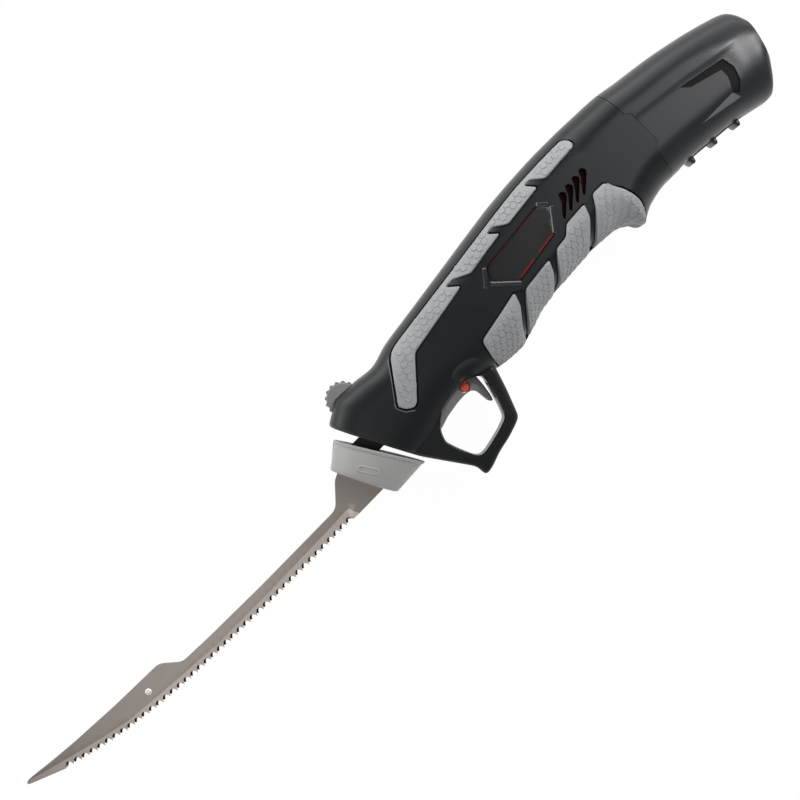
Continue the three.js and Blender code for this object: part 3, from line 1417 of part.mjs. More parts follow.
add('motor_can', motorCan(), FINISH.steel);
add('motor_end_bell', motorEndBell(), FINISH.black);
add('motor_armature', armature(), FINISH.steel);
add('motor_shaft', motorShaft(), FINISH.steel);
add('blade_rivet', bladeRivet(), FINISH.steel);
add('trigger', trigger(), FINISH.trigger);
add('trigger_pin', triggerPin(), FINISH.steel);
add('trigger_spring', triggerSpring(), FINISH.steel);
add('lock_button', lockButton(), FINISH.red);
add('trigger_switch', triggerSwitch(), FINISH.black);
add('switch_lever', switchLever(), FINISH.steel);
add('release_wheel', releaseWheel(), FINISH.trigger);
add('release_rocker', releaseRocker(), FINISH.nylon);
add('terminal_block', terminalBlock(), FINISH.brass);
add('battery_case', batteryCase(), FINISH.black);
add('battery_front', batteryFront(), FINISH.black);
add('battery_latch', batteryLatch(), FINISH.black);
add('battery_board', batteryBoard(), FINISH.board);
[0, 1, 2].forEach((i) => add(`battery_cell_${i + 1}`, batteryCell(i), FINISH.cell));

// The origin is under the middle of the knife, on the surface that it lies on
const bounds = new THREE.Box3().setFromObject(knife);
const centre = bounds.getCenter(new THREE.Vector3());
knife.position.set(-centre.x, -centre.y, -bounds.min.z);

export default knife;
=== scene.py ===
"""Looks of a cordless electric fillet knife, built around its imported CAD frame."""

import json
import logging
import math
from dataclasses import dataclass, field
from enum import Enum
from typing import Callable, Iterable, Optional, Sequence

import bmesh
import bpy
import numpy as np
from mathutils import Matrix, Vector
from mathutils.geometry import delaunay_2d_cdt


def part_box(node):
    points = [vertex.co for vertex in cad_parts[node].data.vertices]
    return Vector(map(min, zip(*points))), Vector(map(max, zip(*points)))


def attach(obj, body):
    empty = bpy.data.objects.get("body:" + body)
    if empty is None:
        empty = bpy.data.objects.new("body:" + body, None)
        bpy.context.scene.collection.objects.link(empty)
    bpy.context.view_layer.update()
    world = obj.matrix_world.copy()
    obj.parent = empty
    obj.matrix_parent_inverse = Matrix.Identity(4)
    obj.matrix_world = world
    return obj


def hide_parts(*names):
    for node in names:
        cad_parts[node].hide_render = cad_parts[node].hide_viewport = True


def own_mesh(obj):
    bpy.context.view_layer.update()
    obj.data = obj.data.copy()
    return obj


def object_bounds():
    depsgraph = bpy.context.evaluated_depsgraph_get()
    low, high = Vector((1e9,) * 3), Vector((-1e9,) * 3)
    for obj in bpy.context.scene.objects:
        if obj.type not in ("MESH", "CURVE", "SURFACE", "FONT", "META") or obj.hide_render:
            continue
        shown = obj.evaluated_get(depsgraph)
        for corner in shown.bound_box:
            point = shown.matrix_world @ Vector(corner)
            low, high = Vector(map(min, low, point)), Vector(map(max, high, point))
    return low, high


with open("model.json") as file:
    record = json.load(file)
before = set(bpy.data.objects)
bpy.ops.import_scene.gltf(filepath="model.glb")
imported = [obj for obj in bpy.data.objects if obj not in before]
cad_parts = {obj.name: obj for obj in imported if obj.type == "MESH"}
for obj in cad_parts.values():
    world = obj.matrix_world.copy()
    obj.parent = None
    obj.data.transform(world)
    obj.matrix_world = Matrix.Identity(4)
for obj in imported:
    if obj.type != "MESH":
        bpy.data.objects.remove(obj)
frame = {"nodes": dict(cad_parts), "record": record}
CAD_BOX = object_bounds()

LOG = logging.getLogger("fillet_knife")
MM = 0.001
SMOOTH_ANGLE = math.radians(34)
FAR = 400.0
TINY = 1e-12
CORNER_SHARE = 0.45
SHRINK_STEP = 0.15
MITRE_LIMIT = 0.6
CUT_TOP = 3.0
FLOAT = "NodeSocketFloat"
VECTOR = "NodeSocketVector"
HALF_TURN = math.pi
QUARTER_TURN = math.pi / 2

Points = np.ndarray
Faces = list[tuple[int, ...]]
Drawing = tuple[np.ndarray, Faces]
Pair = tuple[float, float]
Triple = tuple[float, float, float]
Path = tuple[Pair, ...]
Outline = Sequence[tuple[float, Optional[float]]]
Piece = bpy.types.Object
Node = bpy.types.Node
Socket = bpy.types.NodeSocket
Sockets = bpy.types.bpy_prop_collection
Tree = bpy.types.NodeTree


class Slot(Enum):
    """Material slots of the record."""

    HOUSING = "housing"
    BATTERY = "battery"
    GRIP = "grip"
    BADGE = "badge"
    COLLAR = "collar"
    NECK = "neck"
    BLADE = "blade"
    TRIGGER = "trigger"
    WHEEL = "wheel"
    LOCK = "lock"
    SCREW = "screw"
    STEEL = "steel"
    FRAME = "frame"
    BRASS = "brass"
    NYLON = "nylon"
    SEAL = "seal"
    MAGNET = "magnet"
    WINDING = "winding"
    SWITCH = "switch"
    CELL = "cell"
    BOARD = "board"


class Side(Enum):
    """The two sides of the knife: the left one faces up."""

    LEFT = 1
    RIGHT = -1

    @property
    def label(self) -> str:
        """Word for this side in the names of pieces."""
        return self.name.lower()


class Cut(Enum):
    """Ways to combine two solids."""

    JOIN = "UNION"
    TAKE = "DIFFERENCE"
    KEEP = "INTERSECT"


# Small outline tools


def signed_area(outline: Points) -> float:
    """Area of a closed outline, positive when it runs anticlockwise."""
    x, y = outline[:, 0], outline[:, 1]
    return 0.5 * float(np.sum(x * np.roll(y, -1) - np.roll(x, -1) * y))


def anticlockwise(outline: Points) -> Points:
    """The outline, turned round where it runs clockwise."""
    return outline if signed_area(outline) > 0 else outline[::-1].copy()


def rounded(outline: Points, radius: float, steps: int = 5) -> Points:
    """Round the corners of a closed outline.

    Args:
        outline: Corner points, one row each.
        radius: Length taken from each side of a corner.
        steps: Points that a corner becomes.

    Returns:
        The denser outline.
    """
    made = []
    for before, corner, after in zip(np.roll(outline, 1, 0), outline, np.roll(outline, -1, 0)):
        ends = []
        for other in (before, after):
            away = other - corner
            length = float(np.linalg.norm(away))
            ends.append(corner + away / length * min(radius, CORNER_SHARE * length))
        for share in np.linspace(0, 1, steps):
            first = ends[0] * (1 - share) + corner * share
            second = corner * (1 - share) + ends[1] * share
            made.append(first * (1 - share) + second * share)
    return np.array(made)


def dense(outline: Points, step: float) -> Points:
    """Split the sides of a closed outline so that none is longer than a step."""
    made = []
    for start, end in zip(outline, np.roll(outline, -1, 0)):
        parts = max(1, math.ceil(float(np.linalg.norm(end - start)) / step))
        made.extend(start + (end - start) * i / parts for i in range(parts))
    return np.array(made)


def lengths_along(line: Points) -> np.ndarray:
    """Length of a line from its start to each of its points."""
    return np.concatenate([[0], np.cumsum(np.linalg.norm(np.diff(line, axis=0), axis=1))])


def places_on(line: Points, lengths: np.ndarray) -> Points:
    """Places on a line at some lengths from its start."""
    known = lengths_along(line)
    return np.column_stack([np.interp(lengths, known, line[:, axis]) for axis in range(2)])


def even(outline: Points, step: float) -> Points:
    """The same closed outline with points at even steps."""
    closed = np.vstack([outline, outline[:1]])
    whole = lengths_along(closed)[-1]
    return places_on(closed, np.linspace(0, whole, max(8, round(whole / step)), endpoint=False))


def smooth_outline(corners: Sequence[Pair], radius: float, step: float) -> Points:
    """Anticlockwise outline with rounded corners and even points."""
    return anticlockwise(even(rounded(np.array(corners, float), radius), step))


def normalised(vectors: Points) -> Points:
    """The vectors at a length of one."""
    return vectors / (np.linalg.norm(vectors, axis=-1, keepdims=True) + TINY)


def eased(outline: Points, own: float) -> Points:
    """Draw each point of a closed outline towards its neighbours, keeping a share of its own place."""
    return own * outline + (1 - own) / 2 * (np.roll(outline, 1, 0) + np.roll(outline, -1, 0))


def squared(wave: np.ndarray, power: float) -> np.ndarray:
    """Bend a sine or cosine so that a circle becomes a squarer oval."""
    return np.sign(wave) * np.abs(wave) ** (2 / power)


def angles_round(count: int) -> np.ndarray:
    """Even angles over a full turn."""
    return np.linspace(0, 2 * HALF_TURN, count, endpoint=False)


def leaned(points: Points, angle: float, centre: Sequence[float]) -> Points:
    """Turn flat points about zero and move them to a centre."""
    cosine, sine = math.cos(angle), math.sin(angle)
    x = centre[0] + points[:, 0] * cosine - points[:, 1] * sine
    y = centre[1] + points[:, 0] * sine + points[:, 1] * cosine
    return np.column_stack([x, y])


def lifted(outline: Points, height: float) -> Points:
    """A flat outline at a height."""
    return np.column_stack([outline, np.full(len(outline), float(height))])


def grown(outline: Points, distance: float) -> Points:
    """Move an anticlockwise outline outwards, or inwards for a negative distance."""
    along = normalised(np.roll(outline, -1, 0) - outline)
    normal = np.stack([along[:, 1], -along[:, 0]], 1)
    both = normalised(normal + np.roll(normal, 1, 0))
    stretch = np.maximum(MITRE_LIMIT, np.sum(both * normal, 1, keepdims=True))
    return outline + both * distance / stretch


def shrunk(outline: Points, distance: float) -> Points:
    """Move an anticlockwise outline inwards in small eased steps, so that tight corners do not cross."""
    made = outline
    steps = math.ceil(distance / SHRINK_STEP)
    for _ in range(steps):
        made = eased(grown(made, -distance / steps), own=0.4)
    return made


def inside(points: Points, outline: Points) -> np.ndarray:
    """Which of the points lie inside a closed outline."""
    x, y = points[:, 0:1], points[:, 1:2]
    x0, y0 = outline[:, 0], outline[:, 1]
    x1, y1 = np.roll(x0, -1), np.roll(y0, -1)
    rise = np.where(y1 == y0, TINY, y1 - y0)
    crossed = ((y0 > y) != (y1 > y)) & (x < x0 + (y - y0) / rise * (x1 - x0))
    return crossed.sum(1) % 2 == 1


def lattice(outline: Points, pitch: float) -> Points:
    """Points of a triangular lattice that lie inside an outline."""
    low, high = outline.min(0), outline.max(0)
    row_height = pitch * math.sqrt(3) / 2
    rows = np.arange(low[1] + row_height / 2, high[1], row_height)
    made = []
    for number, y in enumerate(rows):
        shift = pitch / 2 if number % 2 else 0.0
        made.extend((x, y) for x in np.arange(low[0] + shift, high[0], pitch))
    grid = np.array(made).reshape(-1, 2)
    return grid[inside(grid, outline)]


def filled(outline: Points, extra: Points) -> Faces:
    """Triangles inside a closed outline, through extra points that lie in it."""
    points = [Vector(p) for p in np.vstack([outline, extra.reshape(-1, 2)])]
    count = len(outline)
    edges = [(i, (i + 1) % count) for i in range(count)]
    result = delaunay_2d_cdt(points, edges, [], 1, 1e-7)
    if not all(result[3]):
        crossed = [tuple(point) for point, rows in zip(result[0], result[3]) if not rows]
        raise ValueError(f"outline crosses itself near {crossed}")
    origin = [rows[0] for rows in result[3]]
    return [tuple(origin[i] for i in face) for face in result[2]]


def joined_parts(parts: Iterable[Drawing]) -> Drawing:
    """Several meshes as one list of points and faces."""
    points: list[Points] = []
    faces: Faces = []
    start = 0
    for part_points, part_faces in parts:
        points.append(part_points)
        faces.extend(tuple(start + i for i in face) for face in part_faces)
        start += len(part_points)
    return np.vstack(points), faces


def bridged(rows: int, count: int) -> Faces:
    """Faces between neighbouring rings, whose points follow each other ring by ring."""
    return [
        (low + i, low + (i + 1) % count, low + count + (i + 1) % count, low + count + i)
        for low in range(0, (rows - 1) * count, count)
        for i in range(count)
    ]


def closed_faces(face: Faces, rim: int, shift: int, side: Side) -> Faces:
    """Faces of a closed solid from those of its outer face.

    Args:
        face: Outer face.
        rim: Number of points round it, which come first.
        shift: Number of all its points, after which those of the inner face follow in the same order.
        side: Side of the knife that it lies on.

    Returns:
        Outer face, inner face and rim.
    """
    faces = [*face, *(tuple(shift + i for i in reversed(corners)) for corners in face)]
    faces.extend((shift + i, shift + (i + 1) % rim, (i + 1) % rim, i) for i in range(rim))
    return faces if side is Side.LEFT else [tuple(reversed(corners)) for corners in faces]


def loft(rings: Sequence[Points]) -> Drawing:
    """Closed solid through rings of points, with a fan over each end ring."""
    count = len(rings[0])
    points = np.vstack([*rings, rings[0].mean(0)[None], rings[-1].mean(0)[None]])
    faces = bridged(len(rings), count)
    last = (len(rings) - 1) * count
    for i in range(count):
        j = (i + 1) % count
        faces.append((len(points) - 2, j, i))
        faces.append((len(points) - 1, last + i, last + j))
    return points, faces


def edge_profile(radius: float, steps: int) -> list[Pair]:
    """Inset and drop of the rings that round an edge, from the outside inwards."""
    turns = [QUARTER_TURN * i / steps for i in range(steps + 1)]
    return [(radius * (1 - math.cos(a)), radius * (1 - math.sin(a))) for a in turns]


def stacked(levels: Sequence[Points]) -> Drawing:
    """Closed solid through rings of equal count, with flat caps."""
    count = len(levels[0])
    faces = bridged(len(levels), count)
    none = np.empty((0, 2))
    top = (len(levels) - 1) * count
    faces.extend(tuple(top + i for i in face) for face in filled(levels[-1][:, :2], none))
    faces.extend(tuple(reversed(face)) for face in filled(levels[0][:, :2], none))
    return np.vstack(levels), faces


def slab(outline: Points, half: float, edge: float, steps: int = 3) -> Drawing:
    """Flat solid about the middle plane with rounded edges.

    Args:
        outline: Anticlockwise outline, dense enough for its curves.
        half: Half of its thickness.
        edge: Radius of its edges.
        steps: Rings in each rounded edge.

    Returns:
        Points and faces.
    """
    profile = edge_profile(edge, steps) if edge > 0 else [(0.0, 0.0)]
    rings = [(shrunk(outline, inset), half - drop) for inset, drop in profile]
    levels = [(ring, -z) for ring, z in reversed(rings)] + rings
    return stacked([lifted(ring, z) for ring, z in levels])


def prism(outline: Points, low: float, high: float) -> Drawing:
    """Straight solid on an outline, between two heights."""
    points, faces = slab(outline, (high - low) / 2, 0.0, 1)
    return points + np.array([0, 0, (low + high) / 2]), faces


def disc(centre: Pair, radius: float, count: int = 48) -> Points:
    """Round outline."""
    turns = angles_round(count)
    return np.column_stack([centre[0] + radius * np.cos(turns), centre[1] + radius * np.sin(turns)])


def box_outline(x: Pair, y: Pair) -> Points:
    """Four corners of a rectangle, anticlockwise."""
    return np.array([(x[0], y[0]), (x[1], y[0]), (x[1], y[1]), (x[0], y[1])], float)


def turned(profile: Sequence[Pair], centre: Pair, count: int) -> Drawing:
    """Solid turned about a line along Z.

    Args:
        profile: Radius and height of each ring, from the lowest up.
        centre: Place of the line.
        count: Points in a ring.

    Returns:
        Points and faces.
    """
    return loft([lifted(disc(centre, radius, count), height) for radius, height in profile])


# Meshes in Blender


def added(name: str, data: bpy.types.ID) -> Piece:
    """New object in the scene."""
    made = bpy.data.objects.new(name, data)
    bpy.context.scene.collection.objects.link(made)
    return made


class Bench:
    """Turns drawings in millimetres into Blender meshes in the frame.

    The drawing has X towards the rear, Y towards the spine and Z out of the left side.
    """

    DATUM_NODE = "crank_axle"
    DATUM_PLACE = Vector((52.0, 4.5, 0.0))

    def __init__(self) -> None:
        """Find the drawing's zero from the crank's axle."""
        low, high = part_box(self.DATUM_NODE)
        self.zero = np.array((low + high) / 2 - self.DATUM_PLACE * MM)

    def place(self, points: Points) -> Points:
        """Points of the drawing in the frame, in metres."""
        return np.asarray(points, float) * MM + self.zero

    def drawn(self, piece: Piece) -> Points:
        """Points of an object's mesh in the drawing."""
        flat = np.empty(3 * len(piece.data.vertices))
        piece.data.vertices.foreach_get("co", flat)
        return (flat.reshape(-1, 3) - self.zero) / MM

    def piece(self, name: str, drawing: Drawing) -> Piece:
        """Make an object from points and faces of the drawing."""
        points, faces = drawing
        mesh = bpy.data.meshes.new(name)
        mesh.from_pydata(self.place(points).tolist(), [], faces)
        mesh.validate()
        return added(name, mesh)

    def carve(self, piece: Piece, drawing: Drawing, cut: Cut) -> None:
        """Join, cut or trim a piece with another solid of the drawing."""
        tool = self.piece("tool", drawing)
        self.carve_with(piece, tool, cut)
        self.drop(tool)

    def carve_with(self, piece: Piece, tool: Piece, cut: Cut) -> None:
        """Join, cut or trim a piece with another object."""
        boolean = piece.modifiers.new("carve", "BOOLEAN")
        boolean.operation = cut.value
        boolean.solver = "MANIFOLD"
        boolean.object = tool
        self.bake(piece)

    def bake(self, piece: Piece) -> None:
        """Turn a piece's modifiers into its mesh."""
        graph = bpy.context.evaluated_depsgraph_get()
        mesh = bpy.data.meshes.new_from_object(piece.evaluated_get(graph))
        old = piece.data
        piece.modifiers.clear()
        piece.data = mesh
        bpy.data.meshes.remove(old)

    def drop(self, piece: Piece) -> None:
        """Delete a tool and its mesh."""
        mesh = piece.data
        bpy.data.objects.remove(piece)
        bpy.data.meshes.remove(mesh)

    def copy(self, piece: Piece, name: str) -> Piece:
        """A second object with a copy of the mesh."""
        return added(name, piece.data.copy())

    def merge(self, piece: Piece, others: Sequence[Piece]) -> None:
        """Put the meshes of other objects into a piece and delete them."""
        parts = []
        for source in (piece, *others):
            places = np.array([vertex.co for vertex in source.data.vertices]).reshape(-1, 3)
            parts.append((places, [tuple(polygon.vertices) for polygon in source.data.polygons]))
        points, faces = joined_parts(parts)
        old = piece.data
        mesh = bpy.data.meshes.new(old.name)
        mesh.from_pydata(points.tolist(), [], faces)
        piece.data = mesh
        bpy.data.meshes.remove(old)
        for other in others:
            self.drop(other)

    def settle(
        self,
        piece: Piece,
        body: str,
        slot: Slot,
        nodes: Sequence[str] = (),
        finish: Optional["Finish"] = None,
        angle: Optional[float] = SMOOTH_ANGLE,
    ) -> None:
        """Shade and dress a finished piece and hang it on its body.

        Args:
            piece: The object, in place.
            body: CAD body that it moves with.
            slot: Material slot of the record.
            nodes: CAD nodes that it stands for.
            finish: Its finish, if it isn't the one of the slot.
            angle: Turn past which an edge stays sharp; none leaves the shading as it is.
        """
        if angle is not None:
            piece.data.polygons.foreach_set("use_smooth", [True] * len(piece.data.polygons))
            piece.data.set_sharp_from_angle(angle=angle)
        piece.data.materials.clear()
        piece.data.materials.append((finish or FINISHES[slot]).material())
        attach(piece, body)
        if nodes:
            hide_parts(*nodes)
        LOG.info("%s rides on %s, %d faces", piece.name, body, len(piece.data.polygons))


# Node trees


class Graph:
    """Adds and links nodes in one tree."""

    def __init__(self, tree: Tree) -> None:
        """Keep the tree."""
        self.tree = tree

    def node(self, kind: str, values: Optional[dict] = None, **settings: object) -> Node:
        """Add a node.

        Args:
            kind: Blender's name of the node type.
            values: Input values by the socket's name or number.
            settings: Other properties of the node.

        Returns:
            The node.
        """
        made = self.tree.nodes.new(kind)
        for key, value in settings.items():
            setattr(made, key, value)
        for key, value in (values or {}).items():
            if isinstance(value, Socket):
                self.tree.links.new(value, made.inputs[key])
            else:
                made.inputs[key].default_value = value
        return made

    def out(self, kind: str, values: Optional[dict] = None, **settings: object) -> Socket:
        """First output of a new node."""
        return self.node(kind, values, **settings).outputs[0]

    def link(self, source: Socket, target: Socket) -> None:
        """Join an output to an input."""
        self.tree.links.new(source, target)

    def maths(self, operation: str, *values: object) -> Socket:
        """Result of a Math node on numbers and sockets."""
        return self.out("ShaderNodeMath", dict(enumerate(values)), operation=operation)

    def noise(self, place: Socket, scale: object, detail: float, roughness: float = 0.5) -> Socket:
        """Values of a noise texture."""
        values = {"Vector": place, "Scale": scale, "Detail": detail, "Roughness": roughness}
        return self.out("ShaderNodeTexNoise", values)

    def mixed(self, share: Socket, first: object, second: object) -> Socket:
        """Colour between two colours, by a share of the second."""
        return self.node("ShaderNodeMix", {0: share, 6: first, 7: second}, data_type="RGBA").outputs[2]

    def joined(self, *parts: Socket) -> Socket:
        """Several geometries as one."""
        made = self.node("GeometryNodeJoinGeometry")
        for part in parts:
            self.link(part, made.inputs[0])
        return made.outputs[0]


def blank_graph(owner: bpy.types.ID) -> Graph:
    """Emptied node tree of a material or a world."""
    owner.use_nodes = True
    owner.node_tree.nodes.clear()
    return Graph(owner.node_tree)


def shader_group(
    name: str,
    inputs: Sequence[tuple[str, str, object]],
    outputs: Sequence[tuple[str, str]],
    fill: Callable[[Graph, Sockets], dict[str, Socket]],
) -> Tree:
    """Shader node group, built once.

    Args:
        name: Name of the group.
        inputs: Name, socket type and default of each input.
        outputs: Name and socket type of each output.
        fill: Function that adds the nodes and returns the socket of each output.

    Returns:
        The group.
    """
    known = bpy.data.node_groups.get(name)
    if known:
        return known
    tree = bpy.data.node_groups.new(name, "ShaderNodeTree")
    for label, kind, default in inputs:
        socket = tree.interface.new_socket(label, in_out="INPUT", socket_type=kind)
        socket.default_value = default
    for label, kind in outputs:
        tree.interface.new_socket(label, in_out="OUTPUT", socket_type=kind)
    graph = Graph(tree)
    graph.node("NodeGroupOutput", fill(graph, graph.node("NodeGroupInput").outputs))
    return tree


def grain_group() -> Tree:
    """Spark grain of a moulded skin, with slow mottling."""

    def fill(graph: Graph, given: Sockets) -> dict[str, Socket]:
        """Add a fine and a slow noise."""
        place, scale = given["Vector"], given["Scale"]
        slow_scale = graph.maths("MULTIPLY", scale, 0.03)
        return {"Height": graph.noise(place, scale, 2.0), "Mottle": graph.noise(place, slow_scale, 3.0)}

    return shader_group(
        "moulded_grain",
        [("Vector", VECTOR, (0, 0, 0)), ("Scale", FLOAT, 900.0)],
        [("Height", FLOAT), ("Mottle", FLOAT)],
        fill,
    )


def brush_group() -> Tree:
    """Fine lines drawn along a direction."""

    def fill(graph: Graph, given: Sockets) -> dict[str, Socket]:
        """Stretch a noise along the lines."""
        place = given["Vector"]
        turn = graph.out("ShaderNodeMapping", {"Vector": place, "Rotation": given["Turn"]})
        stretch = graph.out(
            "ShaderNodeVectorMath", {0: turn, 1: given["Stretch"]}, operation="MULTIPLY")
        return {"Lines": graph.noise(stretch, 1.0, 3.0), "Mottle": graph.noise(place, 28.0, 2.0)}

    return shader_group(
        "brushed_lines",
        [
            ("Vector", VECTOR, (0, 0, 0)),
            ("Turn", VECTOR, (0, 0, 0)),
            ("Stretch", VECTOR, (40, 3000, 3000)),
        ],
        [("Lines", FLOAT), ("Mottle", FLOAT)],
        fill,
    )


def wear_group() -> Tree:
    """Faint rubbed patches that break up a surface."""

    def fill(graph: Graph, given: Sockets) -> dict[str, Socket]:
        """Cut a noise into soft patches."""
        noise = graph.noise(given["Vector"], given["Scale"], 6.0, 0.7)
        patch = graph.out("ShaderNodeMapRange", {"Value": noise, "From Min": 0.52, "From Max": 0.75})
        return {"Patch": patch}

    return shader_group(
        "rubbed_patches",
        [("Vector", VECTOR, (0, 0, 0)), ("Scale", FLOAT, 60.0)],
        [("Patch", FLOAT)],
        fill,
    )


def tint(red: int, green: int, blue: int) -> Triple:
    """Linear colour of screen values from 0 to 255."""
    shares = [value / 255 for value in (red, green, blue)]
    return tuple(v / 12.92 if v <= 0.04045 else ((v + 0.055) / 1.055) ** 2.4 for v in shares)


def shaded(colour: Triple, factor: float) -> tuple[float, float, float, float]:
    """A colour made lighter or darker, with full cover."""
    return (*(min(1.0, value * factor) for value in colour), 1.0)


@dataclass(frozen=True)
class Finish:
    """Base of the finishes: a name and the principal surface values."""

    name: str
    colour: Triple
    roughness: float = 0.5
    metallic: float = 0.0
    coat: float = 0.0
    specular: float = 0.5

    def material(self) -> bpy.types.Material:
        """The material, built once."""
        known = bpy.data.materials.get(self.name)
        if known:
            return known
        made = bpy.data.materials.new(self.name)
        graph = blank_graph(made)
        surface = graph.node(
            "ShaderNodeBsdfPrincipled",
            {
                "Metallic": self.metallic,
                "Coat Weight": self.coat,
                "Coat Roughness": 0.15,
                "Specular IOR Level": self.specular,
            })
        graph.node("ShaderNodeOutputMaterial", {"Surface": surface.outputs[0]})
        self.dress(graph, surface, graph.node("ShaderNodeTexCoord").outputs["Object"])
        return made

    def dress(self, graph: Graph, surface: Node, place: Socket) -> None:
        """Feed colour, roughness and normal of the surface."""
        raise NotImplementedError

    def ramp(self, graph: Graph, surface: Node, value: Socket, spread: float) -> None:
        """Vary the base colour with a value about its middle."""
        colour = graph.mixed(value, shaded(self.colour, 1 - spread), shaded(self.colour, 1 + spread))
        graph.link(colour, surface.inputs["Base Color"])

    def roughen(self, graph: Graph, surface: Node, value: Socket, ends: Pair) -> None:
        """Vary the roughness with a value, from one end to the other."""
        rough = graph.out("ShaderNodeMapRange", {"Value": value, "To Min": ends[0], "To Max": ends[1]})
        graph.link(rough, surface.inputs["Roughness"])

    def bump(self, graph: Graph, surface: Node, height: Socket, depth: float) -> None:
        """Raise the surface by a height in millimetres."""
        normal = graph.out("ShaderNodeBump", {"Height": height, "Distance": depth * MM, "Strength": 1.0})
        graph.link(normal, surface.inputs["Normal"])


@dataclass(frozen=True)
class Moulded(Finish):
    """Moulded plastic or rubber with a spark grain."""

    grain: float = 1600.0
    depth: float = 0.02
    spread: float = 0.10
    rub: float = 0.08

    def dress(self, graph: Graph, surface: Node, place: Socket) -> None:
        """Add grain, mottling and rubbed patches."""
        grain = graph.node("ShaderNodeGroup", {"Scale": self.grain, "Vector": place}, node_tree=grain_group())
        wear = graph.node("ShaderNodeGroup", {"Vector": place}, node_tree=wear_group())
        self.ramp(graph, surface, grain.outputs["Mottle"], self.spread)
        rubbed = self.roughness - self.rub
        self.roughen(graph, surface, wear.outputs["Patch"], (self.roughness, rubbed))
        self.bump(graph, surface, grain.outputs["Height"], self.depth)


@dataclass(frozen=True)
class Metal(Finish):
    """Metal with drawn lines."""

    metallic: float = 1.0
    turn: float = 0.0
    stretch: Triple = (60.0, 2600.0, 2600.0)
    depth: float = 0.004
    spread: float = 0.10
    uneven: float = 0.08

    def dress(self, graph: Graph, surface: Node, place: Socket) -> None:
        """Add drawn lines to colour, roughness and normal."""
        values = {"Turn": (0, 0, self.turn), "Stretch": self.stretch, "Vector": place}
        brush = graph.node("ShaderNodeGroup", values, node_tree=brush_group())
        self.ramp(graph, surface, brush.outputs["Mottle"], self.spread)
        ends = (self.roughness - self.uneven, self.roughness + self.uneven)
        self.roughen(graph, surface, brush.outputs["Lines"], ends)
        self.bump(graph, surface, brush.outputs["Lines"], self.depth)


@dataclass(frozen=True)
class GroundMetalPaintedShade(Metal):
    """Metal whose marked edge is freshly ground and brighter, and whose marked inner face is darkened with
    painted shade.
    """

    bright: Triple = (0.6, 0.6, 0.6)
    # Dark colour of the painted shade on the inner face, where the near blade shades the far one.
    painted_shade: Triple = (0.02, 0.02, 0.02)

    def ramp(self, graph: Graph, surface: Node, value: Socket, spread: float) -> None:
        """Vary the base colour, lighten it where the mesh is marked as ground and darken it where painted
        shade is marked.
        """
        super().ramp(graph, surface, value, spread)
        target = surface.inputs["Base Color"]
        # The ground mark also lightens the far blade's tooth tips on its inner face, and there it is painted
        # light.
        for name, colour in (("ground", self.bright), ("painted_shade", self.painted_shade)):
            mark = graph.node("ShaderNodeAttribute", attribute_name=name).outputs["Fac"]
            graph.link(graph.mixed(mark, target.links[0].from_socket, shaded(colour, 1.0)), target)


@dataclass(frozen=True)
class Gauze(Finish):
    """Fine woven gauze: dark dots between lighter threads."""

    pitch: float = 0.8
    turn: float = 0.785
    thread_shades: Pair = (0.15, 1.3)
    thread_depth: float = 0.1
    uneven: float = 0.2

    def dress(self, graph: Graph, surface: Node, place: Socket) -> None:
        """Draw a square weave from two waves."""
        turned_place = graph.out("ShaderNodeMapping", {"Vector": place, "Rotation": (0, 0, self.turn)})
        split = graph.node("ShaderNodeSeparateXYZ", {0: turned_place})
        step = 2 * HALF_TURN / (self.pitch * MM)
        waves = [graph.maths("SINE", graph.maths("MULTIPLY", axis, step)) for axis in split.outputs[:2]]
        weave = graph.maths("MULTIPLY", *waves)
        thread = graph.out("ShaderNodeMapRange", {"Value": weave, "From Min": -0.4, "From Max": 0.4})
        shades = [shaded(self.colour, factor) for factor in self.thread_shades]
        graph.link(graph.mixed(thread, *shades), surface.inputs["Base Color"])
        self.roughen(graph, surface, weave, (self.roughness, self.roughness + self.uneven))
        self.bump(graph, surface, thread, self.thread_depth)


